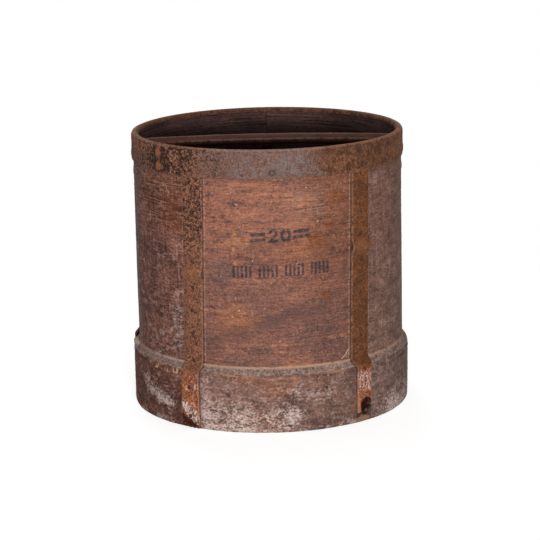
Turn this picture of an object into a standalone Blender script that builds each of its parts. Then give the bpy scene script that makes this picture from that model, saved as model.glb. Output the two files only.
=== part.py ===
"""Grain measure: a bentwood tub with a foot hoop, a plank base and iron binding.

Metres, +Z up. The origin is where the tub's axis meets the surface that it stands on, and -Y is the front.
An azimuth is in degrees, counted from the front towards +X.
"""
import math

import bmesh
import bpy
from mathutils import Matrix, Vector

# Tub: a dry measure is as deep as it is wide
INNER_DIAMETER = 0.2942
INNER_DEPTH = 0.2942
WALL_THICK = 0.0049
BOARD_THICK = 0.0112
BOARD_RECESS = 0.0079
PLANKS = ("front_base_plank", "middle_base_plank", "back_base_plank")

# Foot hoop
HOOP_THICK = 0.0060
HOOP_HEIGHT = 0.0716
HOOP_CHAMFER = 0.0068

# Lapped ends of the two bent strips
LAP_STEPS = 3
LAP_TIP = 0.0010
WALL_SEAM = 180.0
HOOP_SEAM = 145.0

# Rim band, folded over the lip
RIM_THICK = 0.0015
RIM_HEIGHT = 0.0315
RIM_LIP = 0.0050
RIM_ROUND = 0.0006
RIM_SEAM = -44.8
RIM_LAP = 8.5
RIM_LAP_JOG = 1.5
TONGUE_THICK = 0.0012

# Straps: azimuth, height of the foot, and the buckle's shift as a share of its room between nails
STRAP_WIDTH = 0.0246
STRAP_THICK = 0.0020
STRAP_TUCK = 0.0220
BUCKLE_LENGTH = 0.0175
BUCKLE_HEIGHT = 0.0042
STRAPS = {
    "front_left": (-33.0, 0.0005, -0.37),
    "front_right": (40.2, 0.0084, 0.48),
    "back_right": (112.55, 0.0008, -0.19),
    "back": (183.9, 0.0006, 0.19),
    "back_left": (258.4, 0.0010, 0.10),
}

# Crossbar under the rim and its rod down to the base
BAR_WIDTH = 0.0354
BAR_THICK = 0.0070
BAR_DROP = 0.0132
BAR_RISE = 0.0030
BAR_TAB_THICK = 0.0050
BAR_TAB_DEPTH = 0.0480
BAR_BEND = 0.0034
ROD_DIAMETER = 0.0110
ROD_TENON = 0.0080
PLATE_DIAMETER = 0.0460
PLATE_THICK = 0.0030
WASHER_DIAMETER = 0.0220
WASHER_THICK = 0.0015
NUT_WIDTH = 0.0150
NUT_HEIGHT = 0.0040
TENON_PROUD = 0.0004

# Nails and rivets, with the share of a head's width that is flat and of its height that is upright
HEAD_CROWN = 0.60
HEAD_EDGE = 0.35
NAIL_HEAD = 0.0058
NAIL_HEAD_HEIGHT = 0.0012
NAIL_SHANK = 0.0022
NAIL_COVER = 0.0022
NAIL_BITE = 0.0120
NAIL_TOP_MARGIN = 0.0158
NAIL_LOW_MARGIN = 0.0338
WALL_NAIL_COUNT = 4
RIVET_HEAD = 0.0096
RIVET_HEAD_HEIGHT = 0.0014
RIVET_SHANK = 0.0042
RIVET_SPACING = 0.0154
RIVET_DROP = 0.0169
RIVET_ALONG_LAP = 0.6
RIVET_PROUD = 0.0005
HOOP_NAIL_DROP = 0.0040
HOOP_NAILS = (8.9, 83.0, 155.0, 299.0)
BASE_NAILS = (77.0, 148.2, 219.6, 290.9)
RIM_NAILS = ((-64.6, 0.0207), (1.7, 0.0251), (74.6, 0.0195), (219.5, 0.0236))

# Clearance between neighbours, and the facets of round pieces
CLEARANCE = 0.0003
SIDES = 72
ROUND_SIDES = 24
NAIL_SIDES = 6
BUCKLE_STEPS = 6
BAR_STEPS = 8
STRAP_STEPS = 4

# Derived radii
STEP = 360.0 / SIDES
WALL_IN = INNER_DIAMETER / 2
WALL_OUT = WALL_IN + WALL_THICK
HOOP_IN = WALL_OUT + CLEARANCE
HOOP_OUT = HOOP_IN + HOOP_THICK
RIM_IN = WALL_OUT + CLEARANCE
RIM_OUT = RIM_IN + RIM_THICK
LIP_OUT = WALL_IN - CLEARANCE
LIP_IN = LIP_OUT - RIM_THICK
BOARD_RADIUS = WALL_IN - CLEARANCE
RIM_BULGE = STRAP_THICK + CLEARANCE

# Derived heights
BOARD_TOP = BOARD_RECESS + BOARD_THICK
HEIGHT = BOARD_TOP + INNER_DEPTH
WALL_TOP = HEIGHT - RIM_THICK - CLEARANCE
RIM_LOW = HEIGHT - RIM_HEIGHT
CHAMFER_LOW = HOOP_HEIGHT - HOOP_CHAMFER
CHAMFER_SLOPE = HOOP_CHAMFER / HOOP_THICK
BOARD_MIDDLE = BOARD_RECESS + BOARD_THICK / 2
BAR_TOP = HEIGHT - BAR_DROP
BAR_LOW = BAR_TOP - BAR_THICK

HOLES = {}


def outward(azimuth):
    """Unit vector that points away from the axis."""
    turn = math.radians(azimuth)
    return Vector((math.sin(turn), -math.cos(turn), 0.0))


def place(radius, azimuth, height):
    """Point at a radius, an azimuth and a height."""
    return outward(azimuth) * radius + Vector((0.0, 0.0, height))


def arc_degrees(length, radius):
    """Angle that an arc's length takes up at a radius."""
    return math.degrees(length / radius)


def clear_scene():
    """Start from an empty scene."""
    for old in list(bpy.data.objects):
        bpy.data.objects.remove(old, do_unlink=True)


def finish(name, colour, roughness, metallic):
    """Plain Principled material."""
    made = bpy.data.materials.new(name)
    made.use_nodes = True
    shader = made.node_tree.nodes["Principled BSDF"]
    shader.inputs["Base Color"].default_value = (*colour, 1.0)
    shader.inputs["Roughness"].default_value = roughness
    shader.inputs["Metallic"].default_value = metallic
    return made


def make_finishes():
    """Every material of the tub."""
    return {
        "bent_wood": finish("bent_wood", (0.23, 0.105, 0.072), 0.75, 0.0),
        "hoop_wood": finish("hoop_wood", (0.20, 0.120, 0.095), 0.85, 0.0),
        "base_wood": finish("base_wood", (0.10, 0.055, 0.040), 0.85, 0.0),
        "rim_iron": finish("rim_iron", (0.13, 0.070, 0.050), 0.65, 0.4),
        "strap_iron": finish("strap_iron", (0.15, 0.063, 0.037), 0.75, 0.3),
        "bar_iron": finish("bar_iron", (0.07, 0.033, 0.025), 0.60, 0.5),
        "nail_iron": finish("nail_iron", (0.06, 0.032, 0.022), 0.65, 0.5),
    }


def mesh_of(shape, name):
    """Turn a bmesh into a smooth-shaded mesh whose faces point out."""
    bmesh.ops.recalc_face_normals(shape, faces=shape.faces)
    mesh = bpy.data.meshes.new(name)
    shape.to_mesh(mesh)
    shape.free()
    mesh.shade_smooth()
    mesh.set_sharp_from_angle(angle=math.radians(30.0))
    return mesh


def add_piece(name, mesh, material):
    """One named sub-part under the tub's empty."""
    piece = bpy.data.objects.new(name, mesh)
    bpy.context.scene.collection.objects.link(piece)
    piece.parent = bpy.data.objects["grain_measure"]
    piece.data.materials.append(material)
    return piece


def add_tool(name, mesh):
    """A solid that only shapes other pieces."""
    tool = bpy.data.objects.new(name, mesh)
    bpy.context.scene.collection.objects.link(tool)
    tool.parent = bpy.data.objects["grain_measure"]
    tool.hide_render = True
    tool.display_type = "WIRE"
    return tool


def combine(piece, tool, operation):
    """Boolean one solid into a piece."""
    modifier = piece.modifiers.new(tool.name, "BOOLEAN")
    modifier.object = tool
    modifier.operation = operation
    modifier.solver = "EXACT"


def axis_frame(point, direction):
    """Frame at a point whose Z runs along a direction."""
    turn = Vector((0.0, 0.0, 1.0)).rotation_difference(direction)
    return Matrix.Translation(point) @ turn.to_matrix().to_4x4()


def add_prism(shape, frame, radius, low, high, sides):
    """Closed prism round a frame's Z axis."""
    rings = []
    for height in (low, high):
        ring = []
        for side in range(sides):
            turn = math.tau * side / sides
            local = Vector((radius * math.cos(turn), radius * math.sin(turn), height))
            ring.append(shape.verts.new(frame @ local))
        rings.append(ring)
    for side in range(sides):
        after = (side + 1) % sides
        shape.faces.new((rings[0][side], rings[0][after], rings[1][after], rings[1][side]))
    shape.faces.new(rings[0][::-1])
    shape.faces.new(rings[1])


def drill(hosts, frame, radius, low, high, sides=NAIL_SIDES):
    """Note a hole with its clearance, to be cut from every host."""
    for host in hosts:
        HOLES.setdefault(host, []).append((frame, radius + CLEARANCE, low - CLEARANCE, high, sides))


def cut_holes():
    """Cut each host's holes with one tool."""
    for host, holes in HOLES.items():
        shape = bmesh.new()
        for frame, radius, low, high, sides in holes:
            add_prism(shape, frame, radius, low, high, sides)
        tool = add_tool("holes_in_" + host, mesh_of(shape, "holes_in_" + host))
        combine(bpy.data.objects[host], tool, "DIFFERENCE")


def lathe(name, profile, sides):
    """Closed solid turned about Z from a profile that starts and ends on the axis."""
    shape = bmesh.new()
    rings = []
    for radius, height in profile:
        if radius == 0.0:
            rings.append([shape.verts.new((0.0, 0.0, height))] * sides)
            continue
        turns = [math.tau * side / sides for side in range(sides)]
        rings.append([shape.verts.new((radius * math.cos(t), radius * math.sin(t), height)) for t in turns])
    for upper, lower in zip(rings, rings[1:]):
        for side in range(sides):
            after = (side + 1) % sides
            corners = (upper[side], lower[side], lower[after], upper[after])
            shape.faces.new(tuple(dict.fromkeys(corners)))
    return mesh_of(shape, name)


def sweep(name, stations):
    """Solid through a row of closed outlines with the same number of points."""
    shape = bmesh.new()
    rows = [[shape.verts.new(point) for point in outline] for outline in stations]
    count = len(rows[0])
    for row, following in zip(rows, rows[1:]):
        for corner in range(count):
            after = (corner + 1) % count
            shape.faces.new((row[corner], row[after], following[after], following[corner]))
    shape.faces.new(rows[0])
    shape.faces.new(rows[-1][::-1])
    return mesh_of(shape, name)


def lapped_columns(inner, outer, seam):
    """Azimuth and radii of a bent strip's columns, on the side before and the side after each column."""
    thick = outer - inner
    reach = thick - 2 * LAP_TIP - CLEARANCE
    trim = arc_degrees(CLEARANCE, inner)
    columns = []
    for step in range(SIDES + LAP_STEPS + 1):
        azimuth = seam + step * STEP
        before = [inner, outer]
        after = [inner, outer]
        if step <= LAP_STEPS:
            under = inner + LAP_TIP + reach * step / LAP_STEPS
            before = [inner, under] if step else None
            after = [inner, under, outer] if step == LAP_STEPS else [inner, under]
        if step >= SIDES:
            azimuth -= trim
            over = inner + LAP_TIP + CLEARANCE + reach * (step - SIDES) / LAP_STEPS
            before = [inner, over, outer] if step == SIDES else [over, outer]
            after = None if step == SIDES + LAP_STEPS else [over, outer]
        columns.append((azimuth, before, after))
    return columns


def bent_strip(name, inner, outer, seam, top_at):
    """Strip bent once round the tub, its tapered ends lapped with a clearance between them."""
    shape = bmesh.new()
    columns = lapped_columns(inner, outer, seam)
    corners = {}

    def corner(column, radius, upper):
        key = (column, radius, upper)
        if key not in corners:
            height = top_at(radius) if upper else 0.0
            corners[key] = shape.verts.new(place(radius, columns[column][0], height))
        return corners[key]

    def upright(column, low, high):
        shape.faces.new((corner(column, low, 0), corner(column, high, 0),
                         corner(column, high, 1), corner(column, low, 1)))

    for index in range(len(columns) - 1):
        here = columns[index][2]
        there = columns[index + 1][1]
        for upper in (0, 1):
            face = [corner(index, radius, upper) for radius in here]
            face += [corner(index + 1, radius, upper) for radius in reversed(there)]
            shape.faces.new(face)
        for side in (0, -1):
            shape.faces.new((corner(index, here[side], 0), corner(index + 1, there[side], 0),
                             corner(index + 1, there[side], 1), corner(index, here[side], 1)))
    for index, (_, before, after) in enumerate(columns):
        if before is None or after is None:
            upright(index, *(after or before))
        elif before[-1] != after[-1]:
            upright(index, before[-1], after[-1])
        elif before[0] != after[0]:
            upright(index, before[0], after[0])
    return mesh_of(shape, name)


def make_wall(material):
    """Side wall, standing on the floor and reaching up into the rim band."""
    mesh = bent_strip("side_wall", WALL_IN, WALL_OUT, WALL_SEAM, lambda radius: WALL_TOP)
    add_piece("side_wall", mesh, material)


def make_hoop(material):
    """Foot hoop with its chamfered top."""
    def top_at(radius):
        return CHAMFER_LOW + (HOOP_OUT - radius) * CHAMFER_SLOPE

    mesh = bent_strip("foot_hoop", HOOP_IN, HOOP_OUT, HOOP_SEAM, top_at)
    add_piece("foot_hoop", mesh, material)


def make_planks(material):
    """Base planks: a disc sawn across into planks that lie side by side."""
    pitch = (2 * BOARD_RADIUS + CLEARANCE) / len(PLANKS)
    for index, name in enumerate(PLANKS):
        low = -BOARD_RADIUS + index * pitch
        high = low + pitch - CLEARANCE
        shape = bmesh.new()
        rim = [shape.verts.new(place(BOARD_RADIUS, side * STEP, BOARD_RECESS)) for side in range(SIDES)]
        shape.faces.new(rim)
        for limit, normal in ((low, (0, -1, 0)), (high, (0, 1, 0))):
            everything = shape.verts[:] + shape.edges[:] + shape.faces[:]
            bmesh.ops.bisect_plane(shape, geom=everything, plane_co=(0, limit, 0), plane_no=normal,
                                   clear_outer=True)
        raised = bmesh.ops.extrude_face_region(shape, geom=shape.faces[:])
        lifted = [item for item in raised["geom"] if isinstance(item, bmesh.types.BMVert)]
        bmesh.ops.translate(shape, verts=lifted, vec=(0, 0, BOARD_THICK))
        add_piece(name, mesh_of(shape, name), material)


def strap_half_angle():
    """Half of the angle that a strap covers on the wall."""
    return arc_degrees(STRAP_WIDTH / 2, WALL_OUT)


def rim_stations():
    """Azimuths along the rim band, with how far it bulges over the tucked strap ends."""
    half = strap_half_angle() + arc_degrees(CLEARANCE, WALL_OUT)
    ramp = half + arc_degrees(2 * RIM_BULGE, WALL_OUT)
    end = RIM_SEAM + 360.0 - arc_degrees(CLEARANCE, WALL_IN)
    stations = [(RIM_SEAM, 0.0), (end, 0.0)]
    centres = [RIM_SEAM + (strap[0] - RIM_SEAM) % 360.0 for strap in STRAPS.values()]
    for centre in centres:
        for side in (-1, 1):
            stations.append((centre + side * ramp, 0.0))
            stations.append((centre + side * half, RIM_BULGE))
        stations.append((centre, RIM_BULGE))
    for step in range(2 * SIDES):
        azimuth = -180.0 + step * STEP
        free = all(abs(azimuth - centre) > ramp + STEP / 5 for centre in centres)
        if RIM_SEAM + STEP / 5 < azimuth < end - STEP / 5 and free:
            stations.append((azimuth, 0.0))
    return sorted(stations)


def rim_outline(azimuth, bulge):
    """Hooked section of the rim band."""
    leg_in = RIM_IN + bulge
    leg_out = RIM_OUT + bulge
    section = (
        (leg_in, RIM_LOW), (leg_out, RIM_LOW), (leg_out, HEIGHT - RIM_ROUND), (leg_out - RIM_ROUND, HEIGHT),
        (LIP_IN + RIM_ROUND, HEIGHT), (LIP_IN, HEIGHT - RIM_ROUND), (LIP_IN, HEIGHT - RIM_LIP),
        (LIP_OUT, HEIGHT - RIM_LIP), (LIP_OUT, HEIGHT - RIM_THICK), (leg_in, HEIGHT - RIM_THICK),
    )
    return [place(radius, azimuth, height) for radius, height in section]


def make_rim(material):
    """Rim band, with a tongue at one end that laps over the other end."""
    mesh = sweep("rim_band", [rim_outline(azimuth, bulge) for azimuth, bulge in rim_stations()])
    band = add_piece("rim_band", mesh, material)
    lapped = RIM_OUT + CLEARANCE + TONGUE_THICK
    root = RIM_SEAM + 2 * RIM_LAP_JOG
    jog = RIM_SEAM + RIM_LAP_JOG
    end = RIM_SEAM - RIM_LAP
    low = RIM_LOW + RIM_ROUND
    high = HEIGHT - RIM_THICK
    tongue = []
    for azimuth, face in ((root, RIM_OUT), (jog, lapped), ((RIM_SEAM + end) / 2, lapped), (end, lapped)):
        back = face - TONGUE_THICK
        section = ((back, low), (face, low), (face, high), (back, high))
        tongue.append([place(radius, azimuth, height) for radius, height in section])
    combine(band, add_tool("rim_tongue", sweep("rim_tongue", tongue)), "UNION")


def wall_nail_heights():
    """Heights of a strap's nails between the rim band and the hoop."""
    low = HOOP_HEIGHT + NAIL_LOW_MARGIN
    high = RIM_LOW - NAIL_TOP_MARGIN
    pitch = (high - low) / (WALL_NAIL_COUNT - 1)
    return [high - index * pitch for index in range(WALL_NAIL_COUNT)]


def strap_path(foot, shift):
    """Radius and height along the surface that a strap follows, with its buckle."""
    heights = wall_nail_heights()
    room = heights[1] - heights[2] - NAIL_HEAD - BUCKLE_LENGTH
    centre = (heights[1] + heights[2]) / 2 + shift * room
    path = [(HOOP_OUT, foot), (HOOP_OUT, CHAMFER_LOW), (WALL_OUT, HOOP_HEIGHT + CLEARANCE * CHAMFER_SLOPE)]
    for step in range(BUCKLE_STEPS + 1):
        along = step / BUCKLE_STEPS
        lift = BUCKLE_HEIGHT * (1 - math.cos(math.tau * along)) / 2
        path.append((WALL_OUT + lift, centre + (along - 0.5) * BUCKLE_LENGTH))
    path.append((WALL_OUT, RIM_LOW + STRAP_TUCK))
    return path


def offset_path(path, distance):
    """Shift a path away from the axis side by a distance, with mitred corners."""
    points = [Vector(point) for point in path]
    normals = []
    for start, end in zip(points, points[1:]):
        along = (end - start).normalized()
        normals.append(Vector((along.y, -along.x)))
    shifted = []
    for index, point in enumerate(points):
        before = normals[max(index - 1, 0)]
        after = normals[min(index, len(normals) - 1)]
        bisector = (before + after).normalized()
        shifted.append(point + bisector * distance / bisector.dot(after))
    return shifted


def make_straps(material):
    """Straps, nailed on upright and stepping out over the hoop."""
    half = strap_half_angle()
    for name, (centre, foot, shift) in STRAPS.items():
        path = strap_path(foot, shift)
        inner = offset_path(path, CLEARANCE)
        outer = offset_path(path, CLEARANCE + STRAP_THICK)
        outline = inner + outer[::-1]
        stations = []
        for step in range(STRAP_STEPS + 1):
            azimuth = centre + half * (2 * step / STRAP_STEPS - 1)
            stations.append([place(point.x, azimuth, point.y) for point in outline])
        add_piece("strap_" + name, sweep("strap_" + name, stations), material)


def make_crossbar(material):
    """Crossbar, bent down at both ends against the wall."""
    reach = WALL_IN
    tab = WALL_IN - CLEARANCE - BAR_TAB_THICK
    low = BAR_TOP - BAR_TAB_DEPTH
    half = BAR_WIDTH / 2

    def arch(x, height):
        return (x, height + BAR_RISE * (1 - (x / reach) ** 2))

    upper_span = reach - BAR_BEND
    lower_span = tab - BAR_BEND
    outline = [(-reach, low), (-tab, low), (-tab, BAR_LOW - BAR_BEND)]
    shares = [2 * step / BAR_STEPS - 1 for step in range(BAR_STEPS + 1)]
    outline += [arch(share * lower_span, BAR_LOW) for share in shares]
    outline += [(tab, BAR_LOW - BAR_BEND), (tab, low), (reach, low), (reach, BAR_TOP - BAR_BEND)]
    outline += [arch(-share * upper_span, BAR_TOP) for share in shares]
    outline += [(-reach, BAR_TOP - BAR_BEND)]
    stations = [[Vector((x, y, z)) for x, z in outline] for y in (-half, half)]
    bar = add_piece("crossbar", sweep("crossbar", stations), material)
    shape = bmesh.new()
    add_prism(shape, Matrix.Identity(4), WALL_IN - CLEARANCE, 0.0, HEIGHT, SIDES)
    combine(bar, add_tool("wall_space", mesh_of(shape, "wall_space")), "INTERSECT")


def make_disc(name, diameter, low, high, sides, material):
    """Plain disc or prism on the tub's axis."""
    shape = bmesh.new()
    add_prism(shape, Matrix.Identity(4), diameter / 2, low, high, sides)
    return add_piece(name, mesh_of(shape, name), material)


def make_rod(material, nut_material):
    """Centre rod: shouldered under the crossbar and on a foot plate, with a nut under the base."""
    plate_low = BOARD_TOP + CLEARANCE
    shoulder_low = plate_low + PLATE_THICK + CLEARANCE
    shoulder_high = BAR_LOW + BAR_RISE - CLEARANCE
    tenon_high = BAR_TOP + BAR_RISE - TENON_PROUD
    washer_low = BOARD_RECESS - CLEARANCE - WASHER_THICK
    nut_high = washer_low - CLEARANCE
    nut_low = nut_high - NUT_HEIGHT
    tenon_low = nut_low - TENON_PROUD
    rod = ROD_DIAMETER / 2
    tenon = ROD_TENON / 2
    profile = ((0.0, tenon_high), (tenon, tenon_high), (tenon, shoulder_high), (rod, shoulder_high),
               (rod, shoulder_low), (tenon, shoulder_low), (tenon, tenon_low), (0.0, tenon_low))
    add_piece("centre_rod", lathe("centre_rod", profile, ROUND_SIDES), material)
    make_disc("rod_foot_plate", PLATE_DIAMETER, plate_low, plate_low + PLATE_THICK, ROUND_SIDES, material)
    make_disc("rod_washer", WASHER_DIAMETER, washer_low, washer_low + WASHER_THICK, ROUND_SIDES, nut_material)
    across_corners = NUT_WIDTH / math.cos(math.pi / 6)
    make_disc("rod_nut", across_corners, nut_low, nut_high, 6, nut_material)
    hosts = ("crossbar", "rod_foot_plate", "middle_base_plank", "rod_washer", "rod_nut")
    drill(hosts, Matrix.Identity(4), tenon, tenon_low - NUT_HEIGHT, HEIGHT, ROUND_SIDES)


def drive(name, azimuth, height, face, tip, hosts, head, head_height, shank, material):
    """Nail or rivet driven in from a face, with its head seated on it and its hole cut in the hosts."""
    seat = face + CLEARANCE
    length = seat - tip
    crown = HEAD_CROWN * head / 2
    edge = HEAD_EDGE * head_height
    profile = ((0.0, head_height), (crown, head_height), (head / 2, edge), (head / 2, 0.0),
               (shank / 2, 0.0), (shank / 2, -length), (0.0, -length))
    piece = add_piece(name, lathe(name, profile, NAIL_SIDES), material)
    frame = axis_frame(place(seat, azimuth, height), outward(azimuth))
    piece.matrix_world = frame
    drill(hosts, frame, shank / 2, -length, head_height)


def drive_nail(name, azimuth, height, face, tip, hosts, material):
    """Small nail."""
    drive(name, azimuth, height, face, tip, hosts, NAIL_HEAD, NAIL_HEAD_HEIGHT, NAIL_SHANK, material)


def drive_rivet(name, azimuth, height, face, tip, hosts, material):
    """Large flat rivet."""
    drive(name, azimuth, height, face, tip, hosts, RIVET_HEAD, RIVET_HEAD_HEIGHT, RIVET_SHANK, material)


def make_strap_nails(material):
    """Nails down each strap, the lowest one through hoop and wall into the base."""
    wall_tip = WALL_IN + NAIL_COVER
    base_tip = BOARD_RADIUS - NAIL_BITE
    for name, (azimuth, _, _) in STRAPS.items():
        strap = "strap_" + name
        wall_face = WALL_OUT + CLEARANCE + STRAP_THICK
        for index, height in enumerate(wall_nail_heights()):
            drive_nail(f"nail_{name}_{index + 1}", azimuth, height, wall_face, wall_tip,
                       (strap, "side_wall"), material)
        hoop_face = HOOP_OUT + CLEARANCE + STRAP_THICK
        drive_nail(f"nail_{name}_foot", azimuth, BOARD_MIDDLE, hoop_face, base_tip,
                   (strap, "foot_hoop", "side_wall") + PLANKS, material)


def make_other_nails(material):
    """Nails in the hoop, through the hoop into the base, and in the rim band."""
    wall_tip = WALL_IN + NAIL_COVER
    base_tip = BOARD_RADIUS - NAIL_BITE
    for index, azimuth in enumerate(HOOP_NAILS):
        drive_nail(f"hoop_nail_{index + 1}", azimuth, CHAMFER_LOW - HOOP_NAIL_DROP, HOOP_OUT, wall_tip,
                   ("foot_hoop", "side_wall"), material)
    for index, azimuth in enumerate(BASE_NAILS):
        drive_nail(f"base_nail_{index + 1}", azimuth, BOARD_MIDDLE, HOOP_OUT, base_tip,
                   ("foot_hoop", "side_wall") + PLANKS, material)
    for index, (azimuth, drop) in enumerate(RIM_NAILS):
        drive_nail(f"rim_nail_{index + 1}", azimuth, HEIGHT - drop, RIM_OUT, wall_tip,
                   ("rim_band", "side_wall"), material)


def make_rivets(material):
    """Rivets in the rim band's lap and at the crossbar's ends."""
    lap_face = RIM_OUT + CLEARANCE + TONGUE_THICK
    lap_azimuth = RIM_SEAM - RIM_LAP * RIVET_ALONG_LAP
    middle = HEIGHT - RIVET_DROP
    tab_face = WALL_IN - CLEARANCE - BAR_TAB_THICK
    for name, side in (("lower", -1), ("upper", 1)):
        height = middle + side * RIVET_SPACING / 2
        drive_rivet(f"rim_rivet_{name}", lap_azimuth, height, lap_face, WALL_IN,
                    ("rim_band", "side_wall"), material)
    upper = (RIM_LOW + BAR_LOW) / 2
    lower = (RIM_LOW + BAR_TOP - BAR_TAB_DEPTH) / 2
    for side, azimuth in (("left", -90.0), ("right", 90.0)):
        drive_rivet(f"crossbar_rivet_{side}_upper", azimuth, upper, RIM_OUT, tab_face - RIVET_PROUD,
                    ("rim_band", "side_wall", "crossbar"), material)
        drive_rivet(f"crossbar_rivet_{side}_lower", azimuth, lower, WALL_OUT, tab_face - RIVET_PROUD,
                    ("side_wall", "crossbar"), material)


def main():
    """Build the whole tub."""
    clear_scene()
    tub = bpy.data.objects.new("grain_measure", None)
    bpy.context.scene.collection.objects.link(tub)
    finishes = make_finishes()
    make_wall(finishes["bent_wood"])
    make_hoop(finishes["hoop_wood"])
    make_planks(finishes["base_wood"])
    make_rim(finishes["rim_iron"])
    make_straps(finishes["strap_iron"])
    make_crossbar(finishes["bar_iron"])
    make_rod(finishes["bar_iron"], finishes["nail_iron"])
    make_strap_nails(finishes["nail_iron"])
    make_other_nails(finishes["nail_iron"])
    make_rivets(finishes["rim_iron"])
    cut_holes()


main()
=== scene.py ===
"""Looks of the grain measure: worn bentwood, a bloomed foot hoop and rusted iron round the CAD frame.

Metres, +Z up, -Y is the front. An azimuth is in degrees, counted from the front towards +X.
"""
import math
from functools import reduce

import bpy
import numpy as np
from mathutils import Matrix, Vector


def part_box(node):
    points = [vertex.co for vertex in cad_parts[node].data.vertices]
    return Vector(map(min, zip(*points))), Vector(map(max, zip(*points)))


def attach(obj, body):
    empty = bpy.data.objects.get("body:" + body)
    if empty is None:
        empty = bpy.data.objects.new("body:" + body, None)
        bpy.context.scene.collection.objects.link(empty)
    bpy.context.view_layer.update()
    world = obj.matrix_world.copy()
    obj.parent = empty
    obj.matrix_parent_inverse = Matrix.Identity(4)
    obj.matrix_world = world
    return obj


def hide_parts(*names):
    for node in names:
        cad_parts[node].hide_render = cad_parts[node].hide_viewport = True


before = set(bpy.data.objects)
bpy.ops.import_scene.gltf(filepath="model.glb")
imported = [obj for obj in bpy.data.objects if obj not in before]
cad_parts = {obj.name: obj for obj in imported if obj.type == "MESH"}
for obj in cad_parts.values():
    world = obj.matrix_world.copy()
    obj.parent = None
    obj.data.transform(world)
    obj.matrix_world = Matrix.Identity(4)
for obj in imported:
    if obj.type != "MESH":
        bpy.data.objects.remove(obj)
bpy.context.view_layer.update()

# Sizes that the CAD gives
WALL_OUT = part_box("side_wall")[1].x
WALL_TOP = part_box("side_wall")[1].z
HOOP_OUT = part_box("foot_hoop")[1].x
HOOP_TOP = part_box("foot_hoop")[1].z
RIM_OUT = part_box("rim_band")[1].x
RIM_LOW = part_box("rim_band")[0].z
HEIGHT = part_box("rim_band")[1].z
BAR_LOW_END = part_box("crossbar")[0].z
BAR_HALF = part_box("crossbar")[1].y
BOARD_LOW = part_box("middle_base_plank")[0].z
BOARD_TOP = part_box("middle_base_plank")[1].z

# Sizes that its boxes don't show
CLEARANCE = 0.0003
WALL_IN = 0.1471
HOOP_IN = WALL_OUT + CLEARANCE
CHAMFER_LOW = HOOP_TOP - 0.0068
RIM_IN = WALL_OUT + CLEARANCE
RIM_THICK = 0.0015
RIM_LIP = 0.0050
LIP_OUT = WALL_IN - CLEARANCE
LIP_IN = LIP_OUT - RIM_THICK
RIM_BULGE = 0.0023
RIM_SEAM = -44.8
TONGUE_END = -53.3
TONGUE_THICK = 0.0012
WALL_SEAM = 180.0
HOOP_SEAM = 145.0
LAP_TURN = 15.0
LAP_TIP = 0.0010
STRAP_HALF = 0.0123
STRAP_THICK = 0.0020
STRAP_TOP = RIM_LOW + 0.0220
BUCKLE_LENGTH = 0.0175
BUCKLE_HEIGHT = 0.0042
BAR_RISE = 0.0030
BAR_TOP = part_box("crossbar")[1].z - BAR_RISE
BAR_LOW = BAR_TOP - 0.0070
BAR_TAB = 0.1418
STRAP_TURN = math.degrees(STRAP_HALF / WALL_OUT)

STRAPS = ("front_left", "front_right", "back_right", "back", "back_left")

# The straps lean a little, so they stand aside by up to LEAN_MOST degrees
LEAN_LEVEL = 0.165
LEAN_RATE = 7.0
LEAN_MOST = 0.8

# The front straps are narrower on the hoop, from ON_HOOP below its top, where rust has eaten one edge
ON_HOOP = 0.010
FOOT_SHIFT = {"front_left": -0.5, "front_right": 0.7}
FOOT_NARROW = {"front_left": 0.09, "front_right": 0.20}
RAGGED_FEET = {"front_left": 0.0012, "front_right": 0.0045, "back_right": 0.0020, "back": 0.0024,
               "back_left": 0.0016}

# Damage that shapes and finishes share: a rotted pit at the front right foot, a loose step, a heap of dust
PIT_LEVEL = 0.0172
PIT_ASIDE = 0.6
PIT_REACH = 0.0104
PIT_STRETCH = 0.69
LOOSE_STEP = 0.0042
HEAP_AZIMUTH = -85.0

# Cells and random seeds of the straps' meshes
STRAP_CELL = 0.0008
STRAP_COLUMNS = 30
STRAP_SEED = 100
STRAP_SEED_STEP = 40

# Nail heads that have no CAD node: heights on each strap, and the height of one in the rim over each strap
EXTRA_STRAP_NAILS = {
    "front_left": (0.2394, 0.1872, 0.1321, 0.0760, 0.0465),
    "front_right": (0.2391, 0.1833, 0.1314, 0.0850, 0.0612),
    "back_right": (0.2380, 0.1880, 0.1320, 0.0800, 0.0490),
    "back": (0.2400, 0.1820, 0.1330, 0.0790, 0.0470),
    "back_left": (0.2370, 0.1850, 0.1310, 0.0820, 0.0510),
}
STRAP_CAP_NAIL = 0.2890

# CAD nodes of the rim band's nails and rivets
RIM_NAILS = ("rim_nail_1", "rim_nail_2", "rim_nail_3", "rim_nail_4")
RIM_RIVETS = ("rim_rivet_lower", "rim_rivet_upper")


def azimuth_of(node):
    """Azimuth of a small CAD node's middle."""
    low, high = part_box(node)
    middle = (low + high) / 2
    return math.degrees(math.atan2(middle.x, -middle.y))


def levels_of(node):
    """Lowest and highest level of a CAD node."""
    low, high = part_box(node)
    return low.z, high.z


def height_of(node):
    """Height of a small CAD node's middle."""
    return sum(levels_of(node)) / 2


def buckle_of(strap):
    """Height at which a CAD strap stands furthest off the wall."""
    corners = np.array([corner.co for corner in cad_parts["strap_" + strap].data.vertices])
    on_wall = corners[corners[:, 2] > HOOP_TOP + BUCKLE_LENGTH]
    furthest = np.argmax(np.hypot(on_wall[:, 0], on_wall[:, 1]))
    return on_wall[furthest, 2]


def strap_lean(height):
    """Degrees by which a strap stands aside at a height."""
    return np.clip((height - LEAN_LEVEL) * LEAN_RATE, -LEAN_MOST, LEAN_MOST)


STRAP_AZIMUTH = {strap: azimuth_of(f"nail_{strap}_1") for strap in STRAPS}


# Shapes in numpy
LATTICE = 256


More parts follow.
